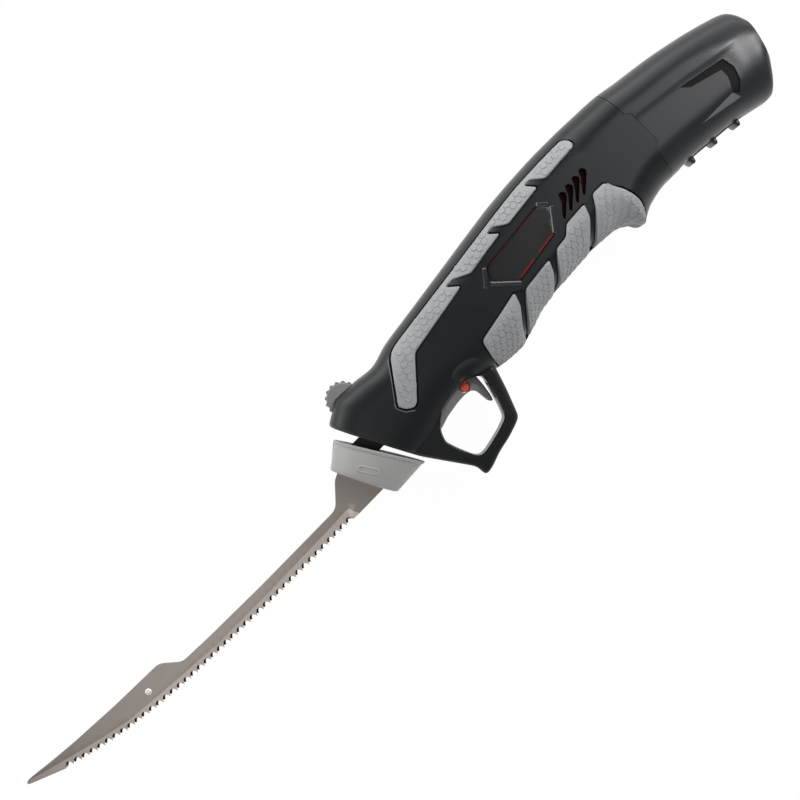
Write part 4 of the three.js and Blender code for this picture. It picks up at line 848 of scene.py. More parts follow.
FINISHES: dict[Slot, Finish] = {
    Slot.HOUSING: Moulded("housing_black", tint(24, 27, 29), 0.33, specular=0.33, grain=1500, depth=0.008),
    Slot.BATTERY: Moulded("battery_black", tint(35, 37, 41), 0.33, specular=0.34, grain=1500, depth=0.006),
    Slot.GRIP: Moulded("grip_grey", tint(147, 149, 151), 0.62, grain=1100, depth=0.075, spread=0.2, rub=0.05),
    Slot.BADGE: Moulded("badge_black", tint(18, 19, 21), 0.3, grain=2200, depth=0.004, coat=0.2),
    Slot.COLLAR: Moulded("collar_silver", tint(163, 162, 160), 0.36, specular=0.25, grain=2400, depth=0.006),
    Slot.NECK: Moulded("neck_black", tint(28, 29, 31), 0.4, grain=1700),
    # Blade steel: ground bevel brighter, inner face darkened as painted shade, its tooth tips lightened as
    # painted light.
    Slot.BLADE: GroundMetalPaintedShade(
        "blade_steel", tint(174, 166, 160), 0.36,
        depth=0.0025, bright=tint(246, 232, 224), painted_shade=tint(46, 42, 41)),
    Slot.TRIGGER: Moulded("trigger_grey", tint(128, 127, 125), 0.5, grain=1700),
    Slot.WHEEL: Moulded("wheel_grey", tint(124, 123, 120), 0.48, grain=1900),
    Slot.LOCK: Moulded("lock_red", tint(240, 92, 78), 0.42, grain=2200, depth=0.008),
    Slot.SCREW: Metal("screw_steel", tint(70, 70, 72), 0.34, turn=0.4),
    Slot.STEEL: Metal("plain_steel", tint(168, 168, 170), 0.28, turn=0.9),
    Slot.FRAME: Metal("frame_zinc", tint(140, 142, 145), 0.42, spread=0.16),
    Slot.BRASS: Metal("turned_brass", tint(206, 172, 96), 0.26),
    Slot.NYLON: Moulded("gear_nylon", tint(214, 210, 196), 0.45, grain=1300),
    Slot.SEAL: Moulded("seal_rubber", tint(30, 30, 31), 0.75, grain=1300),
    Slot.MAGNET: Moulded("magnet_ferrite", tint(58, 57, 58), 0.6, grain=2600, depth=0.03),
    Slot.WINDING: Metal("winding_copper", tint(188, 108, 62), 0.3, stretch=(2600.0, 80.0, 80.0)),
    Slot.SWITCH: Moulded("switch_black", tint(38, 38, 40), 0.5),
    Slot.CELL: Moulded("cell_wrap", tint(62, 96, 120), 0.35, grain=700, depth=0.008, coat=0.2),
    Slot.BOARD: Moulded("board_green", tint(30, 78, 52), 0.4, grain=1200, depth=0.012),
}
RED_GAUZE = Gauze("red_gauze", tint(140, 14, 18), 0.5, specular=0.2)
# Darker copy of the red gauze for the upper strips on the slanted wall: painted shade.
PAINTED_SHADE_GAUZE = Gauze("painted_shade_gauze", tint(74, 8, 12), 0.6, specular=0.15)
# Red gauze darkened almost to black for the vents: its own dark red plus painted shade deep in the slots.
SHADED_VENT_GAUZE = Gauze("vent_gauze_painted_shade", tint(34, 3, 6), 0.8, specular=0.1)
BRIGHT_TRIM = Moulded("gloss_trim", tint(38, 40, 44), 0.16, specular=0.7, grain=2200, depth=0.001)
# Near-black sheet on the floor of the label's groove: painted shade.
PAINTED_RECESS_SHADE = Moulded("painted_recess_shade", tint(11, 12, 13), 0.7, specular=0.2, grain=1500, depth=0.01)
# Rivet head near white and only half metallic: the glint of the peened steel head, painted on as a highlight.
RIVET_PAINTED_GLINT = Metal("rivet_painted_glint", tint(240, 238, 234), 0.34, metallic=0.35)
# Pale grey for a sloped facet and a ridge edge that catch light: painted highlight.
PAINTED_EDGE_HIGHLIGHT = Moulded("painted_edge_highlight", tint(94, 97, 99), 0.5, grain=1500, depth=0.01)


def finish_of(slot: Slot) -> bpy.types.Material:
    """Material of a slot."""
    return FINISHES[slot].material()


# Form of the handle

BODY_STATIONS: tuple[tuple[float, ...], ...] = (
    (14, 21.5, 35, -19, 17),
    (25, 28.5, 47, -17.5, 17.6),
    (36, 28, 56, -14.5, 18.3),
    (47, 26.8, 64, -13, 19.2),
    (60, 30, 72, -12.5, 20.2),
    (75, 32.2, 82, -14, 21.2),
    (104, 36.4, 104, -16, 22.8),
    (125, 39.5, 125, -10, 23.4),
    (140, 41.5, 140, -8.3, 23.5),
    (160, 43, 160, -7.2, 23.5),
    (174, 43.5, 174, -8, 23.5),
    (181, 43.5, 181, -11, 23.5),
    (185.5, 43.5, 185.5, -16, 23.5),
    (188.5, 43.4, 188.5, -14.3, 23.5),
    (194, 43.2, 194, -11.7, 23.5),
    (208, 42.6, 206, -9.6, 23.5),
    (222, 40.5, 219, -9.7, 23.5),
    (240, 38, 236, -10.8, 23.5),
    (258, 34.4, 252, -12.6, 23.1),
    (266, 32.4, 258.2, -13.9, 22.4),
    (272, 30.7, 262.8, -14.9, 21.6),
    (278, 28.7, 267.2, -15.7, 20.4),
    (280.4, 27.1, 269.3, -15.5, 19.9),
    (282.2, 24.2, 272.6, -12.1, 19.5),
    (283.2, 20.6, 276.2, -6.6, 19),
)


class SmoothLine:
    """Curve through places that does not overshoot them, straight over its first span."""

    def __init__(self, places: Sequence[float], values: Sequence[float]) -> None:
        """Work out a slope for each place."""
        self.x = np.array(places, float)
        self.y = np.array(values, float)
        step = np.diff(self.x)
        rise = np.diff(self.y) / step
        slope = np.zeros_like(self.y)
        for i in range(1, len(rise)):
            if rise[i - 1] * rise[i] > 0:
                first = 2 * step[i] + step[i - 1]
                second = step[i] + 2 * step[i - 1]
                slope[i] = (first + second) / (first / rise[i - 1] + second / rise[i])
        slope[0], slope[-1] = rise[0], rise[-1]
        self.slope = slope
        self.first_rise = rise[0]

    def at(self, place: np.ndarray) -> np.ndarray:
        """Values at some places."""
        row = np.clip(np.searchsorted(self.x, place, side="right") - 1, 0, len(self.x) - 2)
        width = self.x[row + 1] - self.x[row]
        share = (place - self.x[row]) / width
        left, right = self.y[row], self.y[row + 1]
        left_slope, right_slope = self.slope[row] * width, self.slope[row + 1] * width
        square, cube = share**2, share**3
        curved = (
            (2 * cube - 3 * square + 1) * left
            + (cube - 2 * square + share) * left_slope
            + (3 * square - 2 * cube) * right
            + (cube - square) * right_slope
        )
        straight = self.y[0] + (place - self.x[0]) * self.first_rise
        return np.where(row == 0, straight, curved)


class HandleForm:
    """Outer skin of the handle, and flat coordinates on it.

    A place on the skin has a station, which is the X of its section's top, and an angle round the section.
    """

    POWER = 2.7
    FLAT = 22.25
    FLAT_BLEND = 0.35
    STATION_STEP = 0.5
    STATION_NUDGE = 0.05
    ANGLES = 161
    ANGLE_NUDGE = 0.01

    def __init__(self) -> None:
        """Fit lines through the stations and tabulate lengths round the sections."""
        columns = np.array(BODY_STATIONS, float).T
        self.spine_y, self.belly_x, self.belly_y, self.half = (
            SmoothLine(columns[0], column) for column in columns[1:])
        self.first, self.last = columns[0][0], columns[0][-1]
        self.stations = np.arange(self.first, self.last, self.STATION_STEP)
        self.angles = np.linspace(-QUARTER_TURN, QUARTER_TURN, self.ANGLES)
        grid = self.skin(self.stations[:, None], self.angles[None, :])
        steps = np.linalg.norm(np.diff(grid, axis=1), axis=2)
        self.around = np.concatenate([np.zeros((len(grid), 1)), np.cumsum(steps, 1)], 1)
        self.along = lengths_along(grid[:, self.ANGLES // 2, :2])

    def chord_ends(self, station: np.ndarray) -> tuple[Points, Points]:
        """Top and lowest point of the sections at some stations, in the side view."""
        top = np.stack([station, self.spine_y.at(station)], -1)
        return top, np.stack([self.belly_x.at(station), self.belly_y.at(station)], -1)

    def skin(self, station: np.ndarray, angle: np.ndarray, inset: float = 0.0) -> Points:
        """Points of the skin, or of a skin set in from it.

        Args:
            station: Stations of the points.
            angle: Angles round the section, from the belly through the left side to the spine.
            inset: Distance inwards.

        Returns:
            Points, with the coordinates on the last axis.
        """
        station, angle = np.broadcast_arrays(np.asarray(station, float), np.asarray(angle, float))
        top, low = self.chord_ends(station)
        step = normalised(top - low) * inset
        top, low = top - step, low + step
        up = squared(np.sin(angle), self.POWER)
        out = squared(np.cos(angle), self.POWER) * (self.half.at(station) - inset)
        flat = self.FLAT - inset
        size = np.abs(out)
        near = np.clip((flat - size) / self.FLAT_BLEND, -40, 40)
        soft = flat - self.FLAT_BLEND * (np.log1p(np.exp(near)) - np.log1p(np.exp(-flat)))
        out = np.sign(out) * np.minimum(size, np.maximum(soft, 0))
        place = low + (top - low) * ((up + 1) / 2)[..., None]
        return np.concatenate([place, out[..., None]], -1)

    def normal(self, station: np.ndarray, angle: np.ndarray) -> Points:
        """Outward unit normals of the skin on the left side."""
        nudge = self.STATION_NUDGE
        by_station = self.skin(station + nudge, angle) - self.skin(station - nudge, angle)
        ahead = np.minimum(angle + self.ANGLE_NUDGE, QUARTER_TURN)
        behind = np.maximum(angle - self.ANGLE_NUDGE, -QUARTER_TURN)
        by_angle = self.skin(station, ahead) - self.skin(station, behind)
        return normalised(np.cross(by_station, by_angle))

    def ring(self, station: float, inset: float, count: int) -> Points:
        """Closed ring of points round one section."""
        return self.skin(np.full(count, station), -angles_round(count), inset)

    def flat_of(self, outline: Outline, under: float) -> Points:
        """Unrolled coordinates of an outline drawn on the left side.

        Args:
            outline: X and Y of each point; no Y means on the underside.
            under: Distance from the middle plane at the underside.

        Returns:
            Length along the handle and round the section, for each point.
        """
        made = []
        for x, y in self.split(outline):
            if y is None:
                station = float(np.interp(x, self.belly_x.at(self.stations), self.stations))
                made.append((np.interp(station, self.stations, self.along), under))
                continue
            station, angle = self.locate(x, y)
            row = int(np.clip((station - self.first) / self.STATION_STEP, 0, len(self.stations) - 1))
            made.append((
                np.interp(station, self.stations, self.along),
                np.interp(angle, self.angles, self.around[row]),
            ))
        return np.array(made)

    @staticmethod
    def split(outline: Outline, step: float = 3.0) -> Outline:
        """Add points along the straight sides of an outline drawn in the side view."""
        made: list[tuple[float, Optional[float]]] = []
        for start, end in zip(outline, [*outline[1:], outline[0]]):
            made.append(start)
            if start[1] is None or end[1] is None:
                continue
            parts = max(1, round(math.dist(start, end) / step))
            made.extend(
                (start[0] + (end[0] - start[0]) * i / parts, start[1] + (end[1] - start[1]) * i / parts)
                for i in range(1, parts))
        return made

    def locate(self, x: float, y: float) -> Pair:
        """Station and angle of the place on the left side over an X and Y."""
        stations = self.stations
        tops, lows = self.chord_ends(stations)
        chord = tops - lows
        reach = np.array([x, y]) - lows
        side = chord[:, 0] * reach[:, 1] - chord[:, 1] * reach[:, 0]
        row = int(np.argmax((side[:-1] <= 0) != (side[1:] <= 0)))
        share = side[row] / (side[row] - side[row + 1] + TINY)
        station = float(stations[row] + share * self.STATION_STEP)
        up = float(np.dot(reach[row], chord[row]) / np.dot(chord[row], chord[row])) * 2 - 1
        up = min(1.0, max(-1.0, up))
        return station, math.asin(math.copysign(abs(up) ** (self.POWER / 2), up))

    def rolled(self, flat: Points, height: np.ndarray, side: Side) -> Points:
        """Points over the skin from unrolled coordinates.

        Args:
            flat: Length along and round, one row for each point.
            height: Height over the skin of each point.
            side: Side of the knife.

        Returns:
            Points of the drawing.
        """
        station = np.interp(flat[:, 0], self.along, self.stations)
        row = np.clip((station - self.first) / self.STATION_STEP, 0, len(self.stations) - 2)
        whole = row.astype(int)
        share = (row - whole)[:, None]
        lengths = self.around[whole] * (1 - share) + self.around[whole + 1] * share
        angle = np.array([np.interp(w, line, self.angles) for w, line in zip(flat[:, 1], lengths)])
        points = self.skin(station, angle) + self.normal(station, angle) * np.asarray(height)[:, None]
        points[:, 2] *= side.value
        return points

    def facing(self, flat: Points, side: Side) -> tuple[Points, Points]:
        """Normals and directions along the handle at unrolled places."""
        here = self.rolled(flat, np.zeros(len(flat)), side)
        above = self.rolled(flat, np.ones(len(flat)), side)
        ahead = self.rolled(flat + np.array([0.2, 0.0]), np.zeros(len(flat)), side)
        return above - here, ahead - here


class SkinPatch:
    """Solid that lies on the handle's skin inside an outline."""

    UNDER = 2.5

    def __init__(
        self, form: HandleForm, outline: Outline, corner: float, side: Side, step: float = 0.7
    ) -> None:
        """Keep the outline, which is unrolled and has its corners rounded when the patch's outline is drawn.

        Args:
            form: The handle's skin.
            outline: X and Y of the corners; no Y means on the underside.
            corner: Length that rounding takes from each side of a corner.
            side: Side of the knife.
            step: Spacing of the points along the outline.
        """
        self.form = form
        self.side = side
        self.drawn = list(outline)
        self.corner = corner
        self.step = step

    def outline(self, grow: float = 0.0) -> Points:
        """Rounded outline in unrolled coordinates, moved outwards by a distance."""
        flat = even(anticlockwise(self.form.flat_of(self.drawn, self.UNDER)), self.step)
        for _ in range(max(1, round((self.corner / self.step) ** 2))):
            flat = eased(flat, own=0.5)
        return even(grown(flat, grow), self.step)

    def solid(
        self,
        top: float,
        floor: float,
        edge: float = 0.0,
        grow: float = 0.0,
        flare: float = 0.0,
        pitch: float = 1.3,
        steps: int = 3,
    ) -> Drawing:
        """Closed solid between two heights over the skin.

        Args:
            top: Height of its face.
            floor: Height of its back.
            edge: Radius of the edge round its face.
            grow: Distance that the outline moves outwards.
            flare: Further distance outwards at its face.
            pitch: Spacing of the points inside the face.
            steps: Rings in the rounded edge.

        Returns:
            Points and faces of the drawing.
        """
        outline = self.outline(grow)
        profile = edge_profile(edge, steps) if edge > 0 else [(0.0, 0.0)]
        rings = [shrunk(outline, inset) for inset, _ in profile]
        heights = [top - drop for _, drop in profile]
        count = len(outline)
        inner = rings[-1]
        extra = lattice(grown(inner, -0.45 * pitch), pitch)
        flat = np.vstack([*rings, extra])
        high = np.concatenate([np.repeat(heights, count), np.full(len(extra), top)])
        flared = np.vstack([*(grown(ring, flare) for ring in rings), extra])
        upper = self.form.rolled(flared, high, self.side)
        lower = self.form.rolled(flat, np.full(len(flat), floor), self.side)
        start = (len(rings) - 1) * count
        face = bridged(len(rings), count)
        face.extend(tuple(start + i for i in corners) for corners in filled(inner, extra))
        return np.vstack([upper, lower]), closed_faces(face, count, len(flat), self.side)

    def spots(self, margin: float, pitch: float, height: float) -> tuple[Points, Points, Points]:
        """Places of a lattice on the patch, with their normals and directions."""
        outline = self.outline()
        flat = lattice(outline, pitch)
        gap = np.linalg.norm(flat[:, None] - outline[None], axis=2).min(1)
        flat = flat[(gap > margin) & (flat[:, 1] > self.UNDER + pitch)]
        normal, along = self.form.facing(flat, self.side)
        return self.form.rolled(flat, np.full(len(flat), height), self.side), normal, along


# Geometry Nodes trees


def geometry_tree(
    name: str,
    inputs: Sequence[tuple[str, str]],
    fill: Callable[[Graph, Sockets], Socket],
) -> Tree:
    """Geometry Nodes tree that ends in real, dressed geometry.

    Args:
        name: Name of the tree.
        inputs: Name and socket type of each input after the geometry and the finish.
        fill: Function that adds the nodes and returns the geometry that they make.

    Returns:
        The tree.
    """
    tree = bpy.data.node_groups.new(name, "GeometryNodeTree")
    tree.interface.new_socket("Geometry", in_out="INPUT", socket_type="NodeSocketGeometry")
    tree.interface.new_socket("Finish", in_out="INPUT", socket_type="NodeSocketMaterial")
    for label, kind in inputs:
        tree.interface.new_socket(label, in_out="INPUT", socket_type=kind)
    tree.interface.new_socket("Geometry", in_out="OUTPUT", socket_type="NodeSocketGeometry")
    graph = Graph(tree)
    given = graph.node("NodeGroupInput").outputs
    made = fill(graph, given)
    real = graph.out("GeometryNodeRealizeInstances", {"Geometry": made})
    dressed = graph.out(
        "GeometryNodeSetMaterial", {"Geometry": real, "Material": given["Finish"]})
    graph.node("NodeGroupOutput", {"Geometry": dressed})
    return tree


def surface_turn(graph: Graph) -> Socket:
    """Rotation from the facing and along attributes of the points."""
    marks = [
        graph.node("GeometryNodeInputNamedAttribute", {"Name": name}, data_type="FLOAT_VECTOR")
        for name in ("facing", "along")
    ]
    facing, along = (mark.outputs["Attribute"] for mark in marks)
    stand = graph.out("FunctionNodeAlignRotationToVector", {"Vector": facing}, axis="Z")
    turn = graph.out(
        "FunctionNodeAlignRotationToVector",
        {"Rotation": stand, "Vector": along},
        axis="X",
        pivot_axis="Z")
    return turn


def honeycomb_tree() -> Tree:
    """Low six-sided studs on points of a surface."""

    def fill(graph: Graph, given: Sockets) -> Socket:
        """Stand a stud on each point."""
        top = graph.maths("MULTIPLY", given["Radius"], 0.86)
        stud = graph.out(
            "GeometryNodeMeshCone",
            {
                "Vertices": 6,
                "Radius Top": top,
                "Radius Bottom": given["Radius"],
                "Depth": given["Height"],
            })
        flat_on = graph.out(
            "GeometryNodeTransform", {"Geometry": stud, "Rotation": (0, 0, QUARTER_TURN)})
        places = {"Points": given["Geometry"], "Rotation": surface_turn(graph)}
        spread = graph.out("GeometryNodeInstanceOnPoints", {**places, "Instance": flat_on})
        return spread

    sockets = [("Radius", FLOAT), ("Height", FLOAT)]
    return geometry_tree("honeycomb_studs", sockets, fill)


def screw_tree() -> Tree:
    """Pan-head screws with a cross recess, whose heads face down the Z axis."""

    def fill(graph: Graph, given: Sockets) -> Socket:
        """Cut two slots in a head, add the shank and copy it to the points."""
        radius, height = given["Head radius"], given["Head height"]
        head = graph.out(
            "GeometryNodeMeshCone",
            {
                "Vertices": 28,
                "Radius Top": radius,
                "Radius Bottom": graph.maths("MULTIPLY", radius, 0.8),
                "Depth": height,
            })
        slots = []
        for across, along in ((0.28, 1.15), (1.15, 0.28)):
            size = graph.out(
                "ShaderNodeCombineXYZ",
                {
                    "X": graph.maths("MULTIPLY", radius, across),
                    "Y": graph.maths("MULTIPLY", radius, along),
                    "Z": height,
                })
            slots.append(graph.out("GeometryNodeMeshCube", {"Size": size}))
        recess = graph.node(
            "GeometryNodeMeshBoolean", {"Mesh 1": head}, operation="DIFFERENCE")
        for slot in slots:
            graph.link(slot, recess.inputs["Mesh 2"])
        length = given["Shank length"]
        shank = graph.out(
            "GeometryNodeMeshCylinder",
            {"Vertices": 16, "Radius": graph.maths("MULTIPLY", radius, 0.5), "Depth": length})
        offset = graph.out("ShaderNodeCombineXYZ", {"Z": graph.maths("MULTIPLY", length, 0.5)})
        moved = graph.out(
            "GeometryNodeTransform", {"Geometry": shank, "Translation": offset})
        both = graph.joined(recess.outputs[0], moved)
        spread = graph.out(
            "GeometryNodeInstanceOnPoints", {"Points": given["Geometry"], "Instance": both})
        return spread

    sockets = [
        ("Head radius", FLOAT),
        ("Head height", FLOAT),
        ("Shank length", FLOAT),
    ]
    return geometry_tree("cross_screws", sockets, fill)


def knurl_tree() -> Tree:
    """Ribs round a wheel whose axis is along Z, added to the wheel itself."""

    def fill(graph: Graph, given: Sockets) -> Socket:
        """Stand a rib at each point of a circle."""
        circle = graph.out(
            "GeometryNodeMeshCircle", {"Vertices": given["Ribs"], "Radius": given["Radius"]})
        rib = graph.out(
            "GeometryNodeMeshCylinder",
            {"Vertices": 10, "Radius": given["Rib radius"], "Depth": given["Width"]})
        spread = graph.out(
            "GeometryNodeInstanceOnPoints",
            {"Points": circle, "Instance": rib})
        moved = graph.out(
            "GeometryNodeTransform", {"Geometry": spread, "Translation": given["Centre"]})
        return graph.joined(given["Geometry"], moved)

    sockets = [
        ("Ribs", "NodeSocketInt"),
        ("Radius", FLOAT),
        ("Rib radius", FLOAT),
        ("Width", FLOAT),
        ("Centre", VECTOR),
    ]
    return geometry_tree("wheel_knurl", sockets, fill)


def grow_tree(bench: Bench, piece: Piece, tree: Tree, values: dict[str, object]) -> None:
    """Run a Geometry Nodes tree on a piece and keep its result as the piece's mesh.

    Args:
        bench: The bench.
        piece: Object whose mesh is the tree's geometry.
        tree: The tree.
        values: Input values by name.
    """
    modifier = piece.modifiers.new(tree.name, "NODES")
    modifier.node_group = tree
    for item in tree.interface.items_tree:
        if item.in_out == "INPUT" and item.name in values:
            modifier[item.identifier] = values[item.name]
    bench.bake(piece)


# Sub-assemblies


SEAM = ((210.0, 60.0), (210.0, 26.5), (212.5, 24.5), (212.5, 7.5), (209.0, 5.0), (209.3, -40.0))


def behind_seam(gap: float) -> Drawing:
    """Solid behind the parting line of the battery."""
    line = [(x + gap, y) for x, y in SEAM]
    outline = anticlockwise(np.array([*line, (FAR, -40.0), (FAR, 60.0)]))
    return prism(outline, -FAR, FAR)


def half_space(side: Side, gap: float) -> Drawing:
    """Solid on one side of the middle plane."""
    low, high = (gap, FAR) if side is Side.LEFT else (-FAR, -gap)
    return prism(box_outline((-FAR, FAR), (-FAR, FAR)), low, high)


@dataclass
class Housing:
    """The two black shells of the handle with the finger guard."""

    bench: Bench
    form: HandleForm
    wall: float = 2.1
    parting: float = 0.15
    around: int = 144
    nose_edge: float = 1.6
    guard_half: float = 12.5
    guard_edge: float = 2.4
    guard_taper: float = 0.28
    guard_root: float = -14.0
    guard_drop: float = 32.0
    guard_corner: float = 3.0
    hole_flare: float = 1.1
    hole_rim: Pair = (1.6, 0.4)
    hole_corner: float = 2.2
    hole_wall: float = 2.4
    hollow_front: float = 25.0
    rear: float = 218.0
    screw_places: Path = (
        (39.5, -13), (56.5, -42.2), (72, 26.5), (97, -8.5), (148, 35), (148, -1.5), (177.5, 36.5))
    screw_head: Pair = (2.5, 2.0)
    screw_seat: float = 6.3
    screw_reach: float = 9.0
    well_gap: float = 0.3
    boss: float = 4.4
    dish_size: Triple = (13.0, 8.5, 9.5)
    dish_place: Triple = (77.0, -8.0, 25.3)
    dish_lean: float = -0.2
    dish_rings: int = 14
    trigger_slot: tuple[Pair, Pair, float] = ((43.4, 81.3), (-17.6, -4.0), 6.4)
    mouth: tuple[Pair, Pair, float] = ((-5, 30), (-4.3, 9.3), 7.6)
    wheel_well: tuple[Pair, float, float] = ((28, 26), 9.4, 4.8)
    guard: Path = (
        (31, -11.3), (35, -19), (50, -40.5), (50, -45), (51.2, -46.3), (55, -45.8), (62.5, -43), (70, -41.5),
        (78, -38.8), (80.3, -37.3), (82.3, -32), (85, -25), (88, -15.5), (89.3, -11), (89.3, -4), (31, -4))
    finger_hole: Path = (
        (50, -16.5), (48.2, -21), (48, -23), (50, -29), (53, -36), (55, -38), (57.5, -38.3), (62, -37.5),
        (70, -35.5), (75.5, -33.5), (78, -27), (80.5, -18), (82, -13), (80.5, -11.2), (75, -8.3), (70, -8.3),
        (65, -9), (60, -10.3), (55, -12.2))

    def tapered(self, points: Points) -> Points:
        """Thin a solid towards the foot of the guard."""
        share = np.clip((self.guard_root - points[:, 1]) / self.guard_drop, 0, 1)
        made = points.copy()
        made[:, 2] *= 1 - self.guard_taper * share
        return made

    def body_rings(self, first: float, last: float, inset: float, step: float) -> list[Points]:
        """Rings of the handle between two stations."""
        count = max(2, round((last - first) / step))
        return [self.form.ring(u, inset, self.around) for u in np.linspace(first, last, count)]

    def whole(self) -> Piece:
        """Handle and guard as one solid, before they are hollowed."""
        start = self.form.first
        edge = edge_profile(self.nose_edge, 4)
        nose = [self.form.ring(start + back, inset, self.around) for back, inset in edge]
        rings = nose + self.body_rings(start + self.nose_edge + 0.5, self.rear, 0.0, 1.0)
        piece = self.bench.piece("housing", loft(rings))
        outline = smooth_outline(self.guard, self.guard_corner, 1.0)
        points, faces = slab(outline, self.guard_half, self.guard_edge, 5)
        self.bench.carve(piece, (self.tapered(points), faces), Cut.JOIN)
        return piece

    def hole_outline(self) -> Points:
        """Smooth outline of the finger hole."""
        return smooth_outline(self.finger_hole, self.hole_corner, 0.9)

    def hole_cutter(self) -> Drawing:
        """Finger hole whose rims are eased."""
        outline = self.hole_outline()
        wide = grown(outline, self.hole_flare)
        near, far = self.guard_half - self.hole_rim[0], self.guard_half + self.hole_rim[1]
        levels = [(wide, -FAR), (wide, -far), (outline, -near), (outline, near), (wide, far), (wide, FAR)]
        return stacked([self.tapered(lifted(ring, z)) for ring, z in levels])

    def hollow(self) -> Piece:
        """Room inside the handle, less the floor over the finger hole and the screw bosses."""
        rings = self.body_rings(self.hollow_front, self.rear + 4, self.wall, 2.0)
        room = self.bench.piece("room", loft(rings))
        self.bench.carve(room, prism(grown(self.hole_outline(), self.hole_wall), -FAR, FAR), Cut.TAKE)
        bosses = joined_parts(prism(disc(place, self.boss, 24), -FAR, FAR) for place in self.screw_places)
        self.bench.carve(room, bosses, Cut.TAKE)
        self.bench.carve(room, self.dishes(self.wall), Cut.TAKE)
        return room

    def openings(self) -> Drawing:
        """Slots for the trigger, the blades and the wheel."""
        x, y, half = self.trigger_slot
        mouth_x, mouth_y, mouth_half = self.mouth
        centre, radius, wheel_half = self.wheel_well
        return joined_parts([
            prism(box_outline(x, y), -half, half),
            prism(rounded(box_outline(mouth_x, mouth_y), 1.0), -mouth_half, mouth_half),
            prism(disc(centre, radius, 64), -wheel_half, wheel_half),
        ])

    def dishes(self, swell: float = 0.0) -> Drawing:
        """Shallow finger dishes over the trigger, made larger all round by a swell."""
        turns = [HALF_TURN * (i + 0.5) / self.dish_rings for i in range(self.dish_rings)]
        ball, faces = turned([(math.sin(turn), -math.cos(turn)) for turn in turns], (0, 0), 48)
        size = ball * (np.array(self.dish_size) + swell)
        flat = leaned(size, self.dish_lean, self.dish_place)
        heights = [size[:, 2] + self.dish_place[2] * side.value for side in Side]
        return joined_parts((np.column_stack([flat, height]), faces) for height in heights)

    def wells(self) -> Drawing:
        """Screw wells in the far side."""
        head = self.screw_head[0] + self.well_gap
        return joined_parts(
            prism(disc(place, head, 32), -FAR, -self.screw_seat) for place in self.screw_places)

    def build(self, pockets: Sequence[Drawing]) -> None:
        """Make both shells.

        Args:
            pockets: Groups of solids cut from the skin for the grips, the badge and the vents.
        """
        whole = self.whole()
        room = self.hollow()
        self.bench.carve_with(whole, room, Cut.TAKE)
        self.bench.drop(room)
        cutters = [self.hole_cutter(), self.openings(), self.dishes(), self.wells(), behind_seam(0.0)]
        for cutter in (*cutters, *pockets):
            self.bench.carve(whole, cutter, Cut.TAKE)
        for side in Side:
            shell = self.bench.copy(whole, f"housing_shell_{side.label}")
            self.bench.carve(shell, half_space(side, self.parting), Cut.KEEP)
            self.bench.settle(shell, "handle", Slot.HOUSING, [f"{side.label}_housing"])
        self.bench.drop(whole)
        self.screws()

    def screws(self) -> None:
        """Cross-head screws from the far side."""
        height = self.screw_head[1]
        points = np.array([(x, y, -self.screw_seat - 0.05 - height) for x, y in self.screw_places])
        piece = self.bench.piece("housing_screws", (points, []))
        grow_tree(self.bench, piece, screw_tree(), {
            "Finish": finish_of(Slot.SCREW),
            "Head radius": self.screw_head[0] * MM,
            "Head height": height * MM,
            "Shank length": (height + self.screw_seat + self.screw_reach) * MM,
        })
        nodes = [f"housing_screw_{i + 1}" for i in range(len(self.screw_places))]
        self.bench.settle(piece, "handle", Slot.SCREW, nodes)


